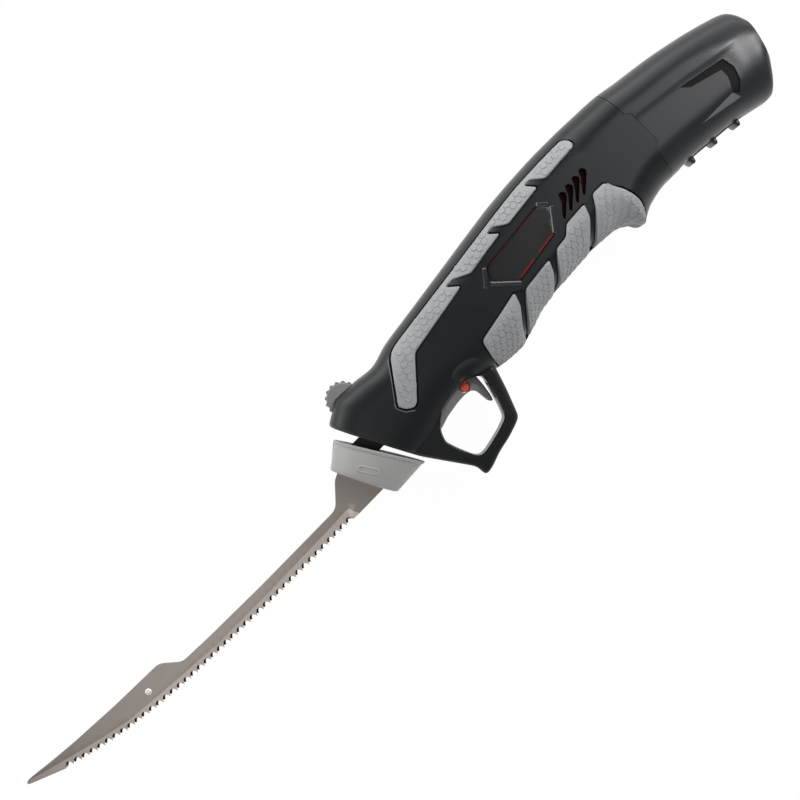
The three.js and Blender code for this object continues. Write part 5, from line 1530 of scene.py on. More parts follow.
@dataclass
class Grips:
    """Grey rubber pads and strips let into the handle, with honeycomb studs."""

    bench: Bench
    form: HandleForm
    face: float = 0.2
    depth: float = 1.3
    pocket: Pair = (1.5, 1.5)
    gap: float = 0.45
    flare: float = 0.7
    edge: float = 0.55
    corner: float = 1.1
    strip_corner: float = 1.0
    channel_corner: float = 0.7
    channel_grow: float = 0.2
    stud_pitch: float = 3.5
    stud_radius: float = 1.9
    stud_height: float = 0.36
    stud_sunk: float = 0.1
    margin: float = 1.75
    channel_depth: float = 1.5
    sharp: float = math.radians(28)
    pads: tuple[Outline, ...] = (
        ((91.6, -1.7), (93, -0.6), (117.7, 4.3), (115.8, -1.7), (110, -9.5), (108.5, -12.5), (107, None),
         (89.9, None), (90.1, -9.5)),
        ((122.6, 1.7), (139.5, 3.8), (137.1, -2.2), (132.5, -8.3), (131, None), (110.5, None), (112.5, -11.8),
         (117.7, -4.6)),
        ((145.4, 4.8), (152.1, 5.5), (156.5, 9.7), (168.6, 10.4), (166.2, 4.1), (158, -5.4), (157, None),
         (134.5, None), (137.3, -7.4), (142, 0.2)),
        ((174.4, 10.9), (181.7, 10.9), (185.6, 4.1), (188, -2.7), (188.6, -7.0), (185.0, None), (160.5, None),
         (161.5, -6.8), (166.2, -0.8), (171, 5.1)),
    )
    strip: Outline = (
        (43.6, 5), (56.7, 23.1), (59.6, 25.3), (64.5, 26.5), (98.6, 30.9), (137.6, 36.2), (152.2, 37.9),
        (166.8, 38.6), (180.5, 38.8), (183.4, 38.3), (184.8, 36.2), (184.8, 34.0), (182.7, 32.7),
        (164.3, 31.3), (159.1, 36.2), (155.2, 36.0), (159, 31), (137.6, 28.5), (131.8, 32.8), (127.5, 32.5),
        (132, 28.1), (109.8, 24.8), (102.0, 28.9), (97.3, 28.6), (102.6, 23.8), (84, 20.4), (71.3, 18.2),
        (66.5, 17.2), (51.4, 0.7), (48.9, -0.5), (45.5, 1.6))
    tree: Optional[Tree] = field(default=None, repr=False)

    def patches(self, side: Side) -> dict[str, SkinPatch]:
        """Every grip of a side by its node's name."""
        made = {
            f"{side.label}_finger_pad_{i + 1}": SkinPatch(self.form, outline, self.corner, side)
            for i, outline in enumerate(self.pads)
        }
        made[f"{side.label}_grip_strip"] = SkinPatch(self.form, self.strip, self.strip_corner, side)
        return made

    def channels(self) -> list[Drawing]:
        """Solids that sink the skin between neighbouring pads."""
        one, two, three, four = (list(pad) for pad in self.pads)
        outlines = (
            one[2:7] + two[5:8] + two[:1],
            two[1:5] + three[7:10] + three[:1],
            three[3:7] + four[6:10] + four[:1],
        )
        patches = [
            SkinPatch(self.form, outline, self.channel_corner, side) for side in Side for outline in outlines]
        return [patch.solid(CUT_TOP, -self.channel_depth, grow=self.channel_grow) for patch in patches]

    def pockets(self) -> list[Drawing]:
        """Solids that make room for the grips in the skin."""
        top, depth = self.pocket
        return [
            patch.solid(top, -depth, grow=self.gap, flare=self.flare)
            for side in Side
            for patch in self.patches(side).values()
        ]

    def build(self) -> None:
        """Make each grip with its studs."""
        self.tree = honeycomb_tree()
        for side in Side:
            for node, patch in self.patches(side).items():
                rubber = patch.solid(self.face, -self.depth, self.edge)
                piece = self.bench.piece(f"{node}_rubber", rubber)
                self.bench.merge(piece, [self.studs(patch)])
                self.bench.settle(piece, "handle", Slot.GRIP, [node], angle=self.sharp)

    def studs(self, patch: SkinPatch) -> Piece:
        """Honeycomb studs of one grip."""
        places, facing, along = patch.spots(self.margin, self.stud_pitch, self.face - self.stud_sunk)
        piece = self.bench.piece("studs", (places, []))
        for name, values in (("facing", facing), ("along", along)):
            attribute = piece.data.attributes.new(name, "FLOAT_VECTOR", "POINT")
            attribute.data.foreach_set("vector", np.asarray(values, np.float32).ravel())
        grow_tree(self.bench, piece, self.tree, {
            "Finish": finish_of(Slot.GRIP),
            "Radius": self.stud_radius * MM,
            "Height": self.stud_height * MM,
        })
        return piece


@dataclass
class SideTrim:
    """Bare badge plates with their trim, and the vents behind them."""

    bench: Bench
    form: HandleForm
    badge: Outline = ((113.1, 14.7), (117, 21.5), (152.2, 25.3), (157, 21), (149.8, 10.2), (123.2, 6))
    badge_depth: float = 1.0
    badge_sunk: float = 0.45
    badge_corner: float = 1.5
    badge_edge: float = 0.35
    badge_gap: float = 0.25
    bars: tuple[Outline, ...] = (
        ((109.7, 14.7), (116, 22)), ((112.6, 14.9), (123.2, 4.9)), ((157.5, 20.5), (149.8, 10.4)),
        ((152.7, 25.8), (157, 22)))
    bar_half: float = 1.05
    bar_proud: float = 0.4
    bar_edge: float = 0.55
    fine_step: float = 0.3
    fine_corner: float = 0.3
    trim_floor: float = -0.8
    gauze_lines: tuple[Outline, ...] = (
        ((118.6, 21.3), (133, 22.9)), ((136, 23.2), (150.8, 24.8)),
        ((124.2, 7.1), (135, 8.8)), ((138, 9.3), (148.8, 11.0)))
    gauze_half: float = 0.4
    gauze_lift: float = 0.1
    gauze_edge: float = 0.15
    # Thin bead outside the grip strip's front leg, pale as a painted highlight on the pocket's edge.
    ridge: Outline = (
        (55.6, 23.9), (42.3, 5.6), (42.5, 4.4), (44.2, 0.8), (48.1, -1.9), (48.3, -1.5), (44.5, 1.1),
        (42.9, 4.5), (42.75, 5.4), (55.9, 23.6))
    ridge_proud: float = 0.12
    vent: Outline = (
        (157.3, 12.8), (161.8, 18.5), (162.6, 20.4), (163.3, 22), (165.3, 21.7), (166.2, 19.9), (165.4, 18.5),
        (157.8, 11.5))
    vent_pitch: Pair = (4.67, 0.47)
    vents: int = 4
    vent_depth: float = 1.9

    def bar(self, line: Outline, half: float) -> Outline:
        """Outline of a bar of some width round a line."""
        start, end = (np.array(point, float) for point in line)
        across = np.array([start[1] - end[1], end[0] - start[0]])
        across *= half / np.linalg.norm(across)
        return [tuple(start + across), tuple(end + across), tuple(end - across), tuple(start - across)]

    def vent_outlines(self) -> list[Outline]:
        """Outlines of the vents of a side."""
        step_x, step_y = self.vent_pitch
        return [[(x + i * step_x, y + i * step_y) for x, y in self.vent] for i in range(self.vents)]

    def plate(self, side: Side) -> SkinPatch:
        """Patch of a badge plate."""
        return SkinPatch(self.form, self.badge, self.badge_corner, side)

    def fine(self, outline: Outline, side: Side) -> SkinPatch:
        """Patch of one of the small pieces."""
        return SkinPatch(self.form, outline, self.fine_corner, side, self.fine_step)

    def pockets(self) -> list[Drawing]:
        """Solids that make room for the badges and vents in the skin."""
        made = []
        for side in Side:
            floor = -self.badge_sunk - self.badge_depth - 0.1
            made.append(self.plate(side).solid(CUT_TOP, floor, grow=self.badge_gap))
            made.extend(
                self.fine(vent, side).solid(CUT_TOP, -self.vent_depth) for vent in self.vent_outlines())
        return made

    def build(self) -> None:
        """Make the plates, their trim and the gauze of both sides."""
        sunk = self.badge_sunk
        for side in Side:
            plate = self.plate(side).solid(-sunk, -sunk - self.badge_depth, self.badge_edge)
            bars = [
                self.fine(self.bar(line, self.bar_half), side).solid(
                    self.bar_proud, self.trim_floor, self.bar_edge, steps=1)
                for line in self.bars
            ]
            strips = [
                self.fine(self.bar(line, self.gauze_half), side).solid(
                    self.gauze_lift - sunk, self.trim_floor, self.gauze_edge, steps=2)
                for line in self.gauze_lines
            ]
            nets = [
                self.fine(vent, side).solid(0.2 - self.vent_depth, -self.vent_depth - 0.3, grow=0.2)
                for vent in self.vent_outlines()
            ]
            ridge = self.fine(self.ridge, side).solid(self.ridge_proud, -0.5)
            for name, parts, finish, nodes in (
                ("badge", [plate], FINISHES[Slot.BADGE], [f"{side.label}_badge_plate"]),
                ("badge_trim", bars, BRIGHT_TRIM, []),
                # Upper strips: the darker copy of the red gauze, painted shade.
                ("painted_shade_gauze", strips[:2], PAINTED_SHADE_GAUZE, []),
                ("red_gauze", strips[2:], RED_GAUZE, []),
                # Vent gauze: its own dark red, darkened further as painted shade.
                ("vent_gauze_painted_shade", nets, SHADED_VENT_GAUZE, []),
                # Ridge in pale grey: painted highlight.
                ("strip_ridge_highlight", [ridge], PAINTED_EDGE_HIGHLIGHT, []),
            ):
                piece = self.bench.piece(f"{name}_{side.label}", joined_parts(parts))
                self.bench.settle(piece, "handle", Slot.BADGE, nodes, finish)


@dataclass
class Battery:
    """Battery pack behind the seam, with its label grooves and latch."""

    bench: Bench
    form: HandleForm
    around: int = 144
    wall: float = 2.1
    seam_gap: float = 0.3
    front: float = 203.0
    end_edge: float = 1.2
    crease: Path = (
        (200, 24.6), (213.2, 22.9), (243.1, 19.1), (257.6, 16.2), (279.8, 14.7))
    crease_drop: float = 0.6
    crease_blend: float = 2.4
    crease_end: float = 276.0
    crease_fade: float = 14.0
    groove: Outline = (
        (236.5, 17.3), (259.9, 12.8), (261.2, 6.3), (259, 0.1), (255.2, -4), (252.5, -1.9), (255.7, 5),
        (255.9, 9.5), (240.4, 13.7))
    # Sloped facet under the label, laid with a pale sheet as a painted highlight.
    wedge: Outline = ((231.8, -2.0), (252.6, -1.6), (254.8, -6.2))
    groove_depth: float = 0.9
    wedge_depth: float = 0.4
    label_corner: float = 0.35
    label_step: float = 0.35
    latch_x: Pair = (218.5, 252.5)
    latch_half: float = 6.0
    latch_travel: float = 3.0
    latch_thick: float = 1.4
    latch_pocket: float = 1.6
    latch_gap: float = 0.3
    fins: tuple[float, ...] = (222.0, 235.5, 249.0)
    fin_size: Pair = (3.4, 2.6)

    def belly(self, x: float) -> float:
        """Height of the underside at an X."""
        stations = self.form.stations
        return float(np.interp(x, self.form.belly_x.at(stations), self.form.belly_y.at(stations)))

    def creased(self, points: Points) -> Points:
        """Set the side in under the crease line."""
        line = np.array(self.crease)
        below = np.interp(points[:, 0], line[:, 0], line[:, 1]) - points[:, 1]
        share = np.clip(below / self.crease_blend, 0, 1)
        share = share * share * (3 - 2 * share)
        share *= np.clip((self.crease_end - points[:, 0]) / self.crease_fade, 0, 1)
        made = points.copy()
        made[:, 2] -= np.sign(made[:, 2]) * np.minimum(np.abs(made[:, 2]), self.crease_drop * share)
        return made

    def case(self) -> Piece:
        """Outer shell of the pack."""
        last = self.form.last
        rings = [self.form.ring(u, 0.0, self.around) for u in np.linspace(self.front, last - 0.05, 90)]
        end = [
            self.form.ring(last - 0.04 + 0.04 * i / 4, inset, self.around)
            for i, (inset, _) in enumerate(edge_profile(self.end_edge, 4))
        ]
        piece = self.bench.piece(
            "battery_shell", loft([self.creased(ring) for ring in rings + end[1:]]))
        self.bench.carve(piece, behind_seam(self.seam_gap), Cut.KEEP)
        room = loft([self.form.ring(u, self.wall + 0.6, 96) for u in np.linspace(self.front - 3, 277, 60)])
        self.bench.carve(piece, room, Cut.TAKE)
        front, rear = self.latch_x
        gap = self.latch_gap
        pocket = np.array([
            (front - self.latch_travel - gap, self.belly(front) + self.latch_pocket + gap),
            (rear + gap, self.belly(rear) + self.latch_pocket + gap),
            (rear + gap, -40.0),
            (front - self.latch_travel - gap, -40.0),
        ])
        half = self.latch_half + gap
        self.bench.carve(piece, prism(anticlockwise(pocket), -half, half), Cut.TAKE)
        grooves = joined_parts(
            self.label_patch(outline, side).solid(CUT_TOP, -depth - self.crease_drop)
            for side in Side
            for _, outline, depth, _ in self.label_parts())
        self.bench.carve(piece, grooves, Cut.TAKE)
        return piece

    def label_parts(self) -> tuple[tuple[str, Outline, float, Finish], ...]:
        """Name, outline, depth and finish of each sunk part of the label's frame; their sheets are painted
        shade in the groove and a painted highlight on the sloped facet.
        """
        return (
            ("label_recess_shade", self.groove, self.groove_depth, PAINTED_RECESS_SHADE),
            ("label_facet_highlight", self.wedge, self.wedge_depth, PAINTED_EDGE_HIGHLIGHT),
        )

    def label_patch(self, outline: Outline, side: Side) -> SkinPatch:
        """Patch of the pack's side inside an outline."""
        return SkinPatch(self.form, outline, self.label_corner, side, self.label_step)

    def latch(self) -> Piece:
        """Sliding latch with finger fins under the pack."""
        front, rear = self.latch_x
        level = [self.belly(x) + self.latch_pocket for x in (front, rear)]
        plate = anticlockwise(np.array([
            (front, level[0]), (rear, level[1]), (rear, level[1] - self.latch_thick),
            (front, level[0] - self.latch_thick)]))
        parts = [slab(even(rounded(plate, 0.6), 0.6), self.latch_half, 0.5, 3)]
        for x in self.fins:
            foot = self.belly(x)
            long, high = self.fin_size
            fin = anticlockwise(np.array([
                (x - long / 2, foot + 0.6), (x + long / 2, foot + 0.6), (x + long / 4, foot - high),
                (x - long / 4, foot - high)]))
            parts.append(slab(even(rounded(fin, 1.0), 0.5), self.latch_half, 0.8, 3))
        return self.bench.piece("latch_slide", joined_parts(parts))

    def build(self) -> None:
        """Make the pack and its latch."""
        self.bench.settle(self.case(), "battery", Slot.BATTERY, ["battery_case"])
        # Thin sheets on the floors of the label's grooves, coloured as painted shade and painted highlight.
        for name, outline, depth, finish in self.label_parts():
            floor = -depth - self.crease_drop
            inlay = self.bench.piece(name, joined_parts(
                self.label_patch(outline, side).solid(floor + 0.25, floor - 0.3, grow=-0.02)
                for side in Side))
            self.bench.settle(inlay, "battery", Slot.BADGE, finish=finish)
        self.bench.settle(self.latch(), "battery_latch", Slot.BATTERY, ["battery_latch"])


@dataclass
class BladeSet:
    """Two toothed blades side by side, their rivet and their split collar."""

    bench: Bench
    thick: float = 1.1
    half_gap: float = 0.15
    edge_thick: float = 0.25
    teeth: int = 42
    gullet: float = 2.6
    far_gullet: float = 2.3
    far_shift: float = 0.76
    samples: int = 10
    heel: Pair = (-4.8, -17.5)
    spine_ease: float = 2.4
    spine: Path = (
        (15.3, -17.2), (13.5, -2), (38.5, -2), (38.5, 7), (8, 7), (3.5, 4.2), (0, 2.5), (-2, 1.5),
        (-10, -7.2), (-13, -8.4), (-60, -8.9), (-95, -8.6), (-113, -8), (-121.5, -0.7), (-150, -0.1),
        (-175, 1.2), (-190, 2.5), (-203, 4), (-204.3, 3.4), (-204.5, 2.7), (-203.9, 2.0))
    tooth_line: Path = (
        (-186.7, -4.8), (-178.1, -7.5), (-169.7, -9.6), (-152.7, -13), (-136, -15), (-119, -16.5),
        (-98, -17.3), (-60, -18), (-30, -17.9), (-8.2, -17.4))
    bevel_line: Path = (
        (-206, 5), (-204, 4.2), (-195, 1.5), (-180, -2.5), (-165, -6.3), (-150, -9.5), (-135, -10.8),
        (-120, -12), (-95, -13.6), (-60, -13.5), (-20, -12.5), (-7.6, -11.9), (-6.3, -12.3), (-5.7, -13.9),
        (-4.6, -17.3), (-4.4, -20))
    edge_line: Path = (
        (-206, 1.5), (-198, -2), (-184, -8), (-168, -12), (-152, -15), (-136, -17), (-119, -18), (-95, -19),
        (-60, -19.5), (-20, -19.5), (-5, -19.5), (0, -19.5))
    rivet: Pair = (-133.7, -6.8)
    rivet_head: Pair = (1.6, 0.6)
    rivet_hole: float = 1.05
    slot_half: Pair = (5.8, 1.25)
    # Height over the tooth line below which the inner face keeps the bright ground colour: painted light on
    # the far blade's tips.
    tip_bright: float = 0.7
    collar_front: tuple[Pair, Pair] = ((0, 6.5), (15, -23))
    collar_rear: tuple[Pair, Pair] = ((11.5, 15.2), (34.3, -21.8))
    collar_half: Pair = (11.0, 16.5)
    collar_power: float = 2.15
    collar_wall: float = 2.0
    collar_parting: float = 0.2
    pill_centre: Pair = (13.5, -6.0)
    pill_size: Pair = (3.5, 1.35)
    pill_lean: float = -0.96
    pill_wire: float = 0.42
    pill_sides: int = 10
    sharp: float = math.radians(20)

    @property
    def face(self) -> float:
        """Distance of a blade's outer face from the middle plane."""
        return self.half_gap + self.thick

    def toothed(self, gullet: float, shift: float) -> Points:
        """Points of the toothed edge from tip to heel, its teeth moved on by a share of their pitch."""
        line = np.array(self.tooth_line, float)
        shares = np.linspace(0, 1, self.teeth * self.samples + 1)
        places = places_on(line, shares * lengths_along(line)[-1])
        along = normalised(np.gradient(places, axis=0))
        inward = np.stack([-along[:, 1], along[:, 0]], 1)
        part = (np.arange(len(places)) / self.samples + shift) % 1.0
        ends = np.clip(np.minimum(shares, 1 - shares) * self.teeth * 2, 0, 1) if shift else 1.0
        depth = gullet * np.sin(HALF_TURN * part) ** 0.7 * ends
        return places + inward * np.reshape(depth, (-1, 1))

    def blade_outline(self, gullet: float, shift: float) -> Points:
        """Closed outline of a blade, anticlockwise."""
        steps = 5
        heel = np.array([self.heel, (self.heel[0] + 0.6, self.heel[1])])
        corners = np.vstack([heel[1:], self.spine, self.tooth_line[:1]])
        back = rounded(corners, self.spine_ease, steps)[steps:-steps]
        return anticlockwise(np.vstack([back, self.toothed(gullet, shift), heel]))

    def outer(self, points: Points) -> np.ndarray:
        """Distance of the ground face from the middle plane."""
        bevel, edge = np.array(self.bevel_line), np.array(self.edge_line)
        high = np.interp(points[:, 0], bevel[:, 0], bevel[:, 1])
        low = np.minimum(np.interp(points[:, 0], edge[:, 0], edge[:, 1]), high - 0.5)
        share = np.clip((high - points[:, 1]) / (high - low), 0, 1)
        return self.face - share * (self.thick - self.edge_thick)

    def blade(self, side: Side) -> Piece:
        """One blade, flat inside and ground outside."""
        near = side is Side.LEFT
        gullet, shift = (self.gullet, 0.0) if near else (self.far_gullet, self.far_shift)
        outline = dense(self.blade_outline(gullet, shift), 3.0)
        bevel = np.array(self.bevel_line, float)
        on_bevel = places_on(bevel, np.arange(0.6, lengths_along(bevel)[-1], 1.0))
        along = normalised(np.gradient(on_bevel, axis=0))
        low = on_bevel + 0.35 * np.column_stack([along[:, 1], -along[:, 0]])
        extra = np.vstack([on_bevel, low, lattice(outline, 4.0)])
        extra = extra[inside(extra, grown(outline, -0.5)) & inside(extra, outline)]
        flat = np.vstack([outline, extra])
        faces = closed_faces(filled(outline, extra), len(outline), len(flat), side)
        points = np.vstack([np.column_stack([flat, self.outer(flat)]), lifted(flat, self.half_gap)])
        points[:, 2] *= side.value
        piece = self.bench.piece(f"blade_{side.label}", (points, faces))
        x, y = self.rivet
        if side is Side.RIGHT:
            long, wide = self.slot_half
            slot = rounded(box_outline((x - long, x + long), (y - wide, y + wide)), 1.2)
            self.bench.carve(piece, prism(slot, -FAR, FAR), Cut.TAKE)
        else:
            self.bench.carve(piece, prism(disc((x, y), self.rivet_hole, 24), -FAR, FAR), Cut.TAKE)
        self.mark_faces(piece)
        return piece

    def mark_faces(self, piece: Piece) -> None:
        """Mark the points of the ground edge, and the points of the inner face above the tooth tips, which
        get painted shade for the shadow between the blades.
        """
        places = self.bench.drawn(piece)
        # The ground mark goes by X and Y only, so it also takes in the inner face under the bevel; on the far
        # blade's tooth tips that brightness is painted light.
        ground = self.outer(places[:, :2]) < self.face - 0.01
        line = np.array(self.tooth_line)
        height = places[:, 1] - np.interp(places[:, 0], line[:, 0], line[:, 1])
        # The rest of the inner face is darkened as painted shade from the other blade.
        painted_shade = (np.abs(places[:, 2]) < self.half_gap + 0.05) & (height > self.tip_bright)
        for name, mask in (("ground", ground), ("painted_shade", painted_shade)):
            attribute = piece.data.attributes.new(name, "FLOAT", "POINT")
            attribute.data.foreach_set("value", mask.astype(np.float32))

    def collar_ring(self, share: float, inset: float, flare: float, count: int = 96) -> Points:
        """Ring of the collar at a share of its length."""
        top = np.array(self.collar_front[0]) * (1 - share) + np.array(self.collar_rear[0]) * share
        low = np.array(self.collar_front[1]) * (1 - share) + np.array(self.collar_rear[1]) * share
        unit = (top - low) / np.linalg.norm(top - low)
        top, low = top - unit * (inset - flare), low + unit * (inset - flare)
        start, end = self.collar_half
        half = start + (end - start) * math.sqrt(max(0.0, share)) - inset + flare
        turns = angles_round(count)
        up = squared(np.sin(turns), self.collar_power)
        out = squared(np.cos(turns), self.collar_power) * half
        place = low + (top - low) * ((up + 1) / 2)[:, None]
        return np.column_stack([place, out])

    def collar(self, side: Side) -> Piece:
        """One half of the collar, hollow behind, with a raised ring on its side."""
        front = reversed(edge_profile(1.6, 4))
        rings = [self.collar_ring(drop * 0.03, inset, 0.0) for inset, drop in front]
        rings += [self.collar_ring(s, 0.0, 0.0) for s in np.linspace(0.06, 0.88, 26)]
        lip = ((0.895, 0.0), (0.905, 0.3), (0.92, 0.42), (0.985, 0.42), (0.996, 0.25), (1.0, -0.1))
        rings += [self.collar_ring(s, 0.0, flare) for s, flare in lip]
        piece = self.bench.piece(f"collar_{side.label}", loft(rings))
        room = loft([self.collar_ring(s, self.collar_wall, 0.0) for s in np.linspace(0.16, 1.2, 16)])
        self.bench.carve(piece, room, Cut.TAKE)
        slot = self.face + 0.12
        self.bench.carve(piece, prism(box_outline((-8, 45), (-19, 9)), -slot, slot), Cut.TAKE)
        self.bench.carve(piece, half_space(side, self.collar_parting), Cut.KEEP)
        self.bench.merge(piece, [self.bench.piece("pill", self.pill(side))])
        return piece

    def collar_skin(self, x: float, y: float) -> float:
        """Distance of the collar's skin from the middle plane over an X and Y."""
        best = (1e9, 0.0)
        for share in np.linspace(0, 1, 121):
            ring = self.collar_ring(share, 0.0, 0.0)
            gap = np.hypot(ring[:, 0] - x, ring[:, 1] - y) + (ring[:, 2] < 0) * 1e6
            row = int(np.argmin(gap))
            if gap[row] < best[0]:
                best = (float(gap[row]), float(ring[row, 2]))
        return best[1]

    def pill(self, side: Side) -> Drawing:
        """Raised ring, a long oval, on the collar's side."""
        half, radius = self.pill_size
        turns = angles_round(40)
        oval = np.column_stack([
            np.sign(np.cos(turns)) * half + radius * np.cos(turns), radius * np.sin(turns)])
        flat = leaned(oval, self.pill_lean, self.pill_centre)
        path = np.column_stack([flat, [self.collar_skin(x, y) * side.value for x, y in flat]])
        along = normalised(np.roll(path, -1, 0) - np.roll(path, 1, 0))
        across = normalised(np.cross(along, np.array([0, 0, 1.0])))
        third = np.cross(across, along)
        points = np.vstack([
            path + self.pill_wire * (across * math.cos(a) + third * math.sin(a))
            for a in angles_round(self.pill_sides)
        ])
        rows = bridged(self.pill_sides + 1, len(path))
        return points, [tuple(i % len(points) for i in reversed(corners)) for corners in rows]

    def build(self) -> None:
        """Make both blades, the rivet and both halves of the collar."""
        for side in Side:
            body = f"{side.label}_blade_set"
            self.bench.settle(
                self.blade(side), body, Slot.BLADE, [f"{side.label}_blade"], angle=self.sharp)
            self.bench.settle(self.collar(side), body, Slot.COLLAR, [f"{side.label}_collar"])
        radius, height = self.rivet_head
        top = self.face + 0.02
        turns = np.linspace(0, QUARTER_TURN * 0.95, 7)
        head = [(radius * math.cos(turn), height * math.sin(turn)) for turn in turns]
        shank = [(1.0, -top), (1.0, top)]
        profile = [(r, -top - h) for r, h in reversed(head)] + shank + [(r, top + h) for r, h in head]
        rivet = self.bench.piece("rivet", turned(profile, self.rivet, 32))
        # The rivet takes the near-white finish of its painted glint.
        self.bench.settle(rivet, "left_blade_set", Slot.STEEL, ["blade_rivet"], RIVET_PAINTED_GLINT)


@dataclass
class Controls:
    """Trigger, its lock button and the release wheel."""

    bench: Bench
    trigger_outline: Path = (
        (47, -15.2), (50.5, -16.6), (57, -14.5), (65, -13.2), (70, -13), (73, -13.6), (75, -15.5),
        (75.3, -19), (75.7, -23), (77, -24.4), (78, -22), (79, -16), (79.4, -11), (79.2, -5.4), (78.4, -4.6),
        (68, -4.6), (65.5, -8.2), (58, -9.4), (48.6, -9))
    trigger_half: float = 6.0
    trigger_edge: float = 0.6
    pivot: Pair = (47.5, -12.0)
    pivot_hole: float = 1.6
    spring_place: float = 76.6
    spring_hole: float = 2.4
    spring_span: Pair = (-8.8, 5.0)
    lock_centre: Pair = (72.0, -10.3)
    lock_radius: float = 2.4
    lock_ends: Pair = (-3.0, 6.0)
    lock_gap: float = 0.25
    wheel_centre: Pair = (28.0, 26.0)
    wheel_radius: float = 7.9
    wheel_half: float = 4.5
    ribs: int = 16
    rib_radius: float = 1.0

    def trigger(self) -> Piece:
        """Curved trigger with a hole for its lock."""
        outline = smooth_outline(self.trigger_outline, 1.2, 0.6)
        piece = self.bench.piece("trigger_lever", slab(outline, self.trigger_half, self.trigger_edge, 4))
        holes = joined_parts([
            prism(disc(self.lock_centre, self.lock_radius + self.lock_gap, 40), -FAR, FAR),
            prism(disc(self.pivot, self.pivot_hole, 24), -FAR, FAR),
        ])
        self.bench.carve(piece, holes, Cut.TAKE)
        half = self.spring_hole
        pocket = box_outline((self.spring_place - half, FAR), self.spring_span)
        self.bench.carve(piece, prism(pocket, -half, half), Cut.TAKE)
        return piece

    def lock(self) -> Piece:
        """Domed cross button."""
        low, high = self.lock_ends
        radius = self.lock_radius
        profile = [
            (radius * 0.5, low), (radius * 0.85, low + 0.15), (radius, low + 0.6), (radius, high - 0.9),
            (radius * 0.94, high - 0.5), (radius * 0.8, high - 0.2), (radius * 0.5, high - 0.05),
            (0.05, high)]
        return self.bench.piece("lock_cap", turned(profile, self.lock_centre, 40))

    def wheel(self) -> Piece:
        """Thumb wheel with ribs round its rim."""
        radius, half = self.wheel_radius, self.wheel_half
        lower = [
            (1.2, -half - 3.2), (1.2, -half - 0.01), (radius - 2.2, -half), (radius - 0.9, -half),
            (radius - 0.2, 0.8 - half)]
        profile = lower + [(ring, -height) for ring, height in reversed(lower)]
        piece = self.bench.piece("wheel_knurled", turned(profile, self.wheel_centre, 64))
        centre = self.bench.place(np.array([[*self.wheel_centre, 0.0]]))[0]
        grow_tree(self.bench, piece, knurl_tree(), {
            "Finish": finish_of(Slot.WHEEL),
            "Ribs": self.ribs,
            "Radius": (radius - 0.5) * MM,
            "Rib radius": self.rib_radius * MM,
            "Width": (2 * half - 0.8) * MM,
            "Centre": centre.tolist(),
        })
        return piece

    def build(self) -> None:
        """Make the three controls."""
        for piece, body, slot, node in (
            (self.trigger(), "trigger", Slot.TRIGGER, "trigger"),
            (self.lock(), "lock_button", Slot.LOCK, "lock_button"),
            (self.wheel(), "release_wheel", Slot.WHEEL, "release_wheel"),
        ):
            self.bench.settle(piece, body, slot, [node])


@dataclass
class Springs:
    """Steel parts that give under the controls: the trigger's coil and the leaves that catch the blades."""

    bench: Bench
    coil_place: float = 76.6
    coil_ends: Pair = (-7.9, 1.3)
    coil_radius: float = 1.7
    coil_wire: float = 0.35
    coil_turns: int = 6
    turn_steps: int = 20
    wire_sides: int = 8
    coil_keep: float = 0.58
    leaf_seat: float = 8.2
    leaf_keep: float = 0.22
    weld: float = 1e-6

    def coil(self) -> Drawing:
        """One wire wound along Y."""
        low, high = self.coil_ends
        steps = self.coil_turns * self.turn_steps
        around = angles_round(self.wire_sides)
        up = np.array([0.0, 1.0, 0.0])
        rings = []
        for i in range(steps + 1):
            turn = 2 * HALF_TURN * i / self.turn_steps
            out = np.array([math.cos(turn), 0.0, math.sin(turn)])
            middle = np.array([self.coil_place, low + (high - low) * i / steps, 0.0]) + self.coil_radius * out
            rings.append(np.array([
                middle + self.coil_wire * (out * math.cos(a) + up * math.sin(a)) for a in around]))
        return loft(rings)

    def leaf(self, side: Side) -> Piece:
        """Catch leaf of a side, welded from its solid."""
        piece = self.bench.copy(frame["nodes"][f"{side.label}_blade_catch"], f"catch_leaf_{side.label}")
        edit = bmesh.new()
        edit.from_mesh(piece.data)
        bmesh.ops.remove_doubles(edit, verts=edit.verts, dist=self.weld)
        edit.to_mesh(piece.data)
        edit.free()
        return piece

    def build(self) -> None:
        """Make the coil and both leaves, each hung on the body that it moves with."""
        coil = self.bench.piece("trigger_coil", self.coil())
        self.bench.settle(coil, "handle", Slot.STEEL, ["trigger_spring"])
        seat = self.bench.place(np.array([self.coil_place, self.coil_ends[1], 0.0]))
        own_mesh(coil)
        root = self.bench.place(np.array([0.0, self.leaf_seat, 0.0]))
        for side in Side:
            leaf = self.leaf(side)
            nodes = [f"{side.label}_blade_catch"]
            self.bench.settle(leaf, f"{side.label}_drive", Slot.STEEL, nodes, angle=None)
            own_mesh(leaf)


# Studio


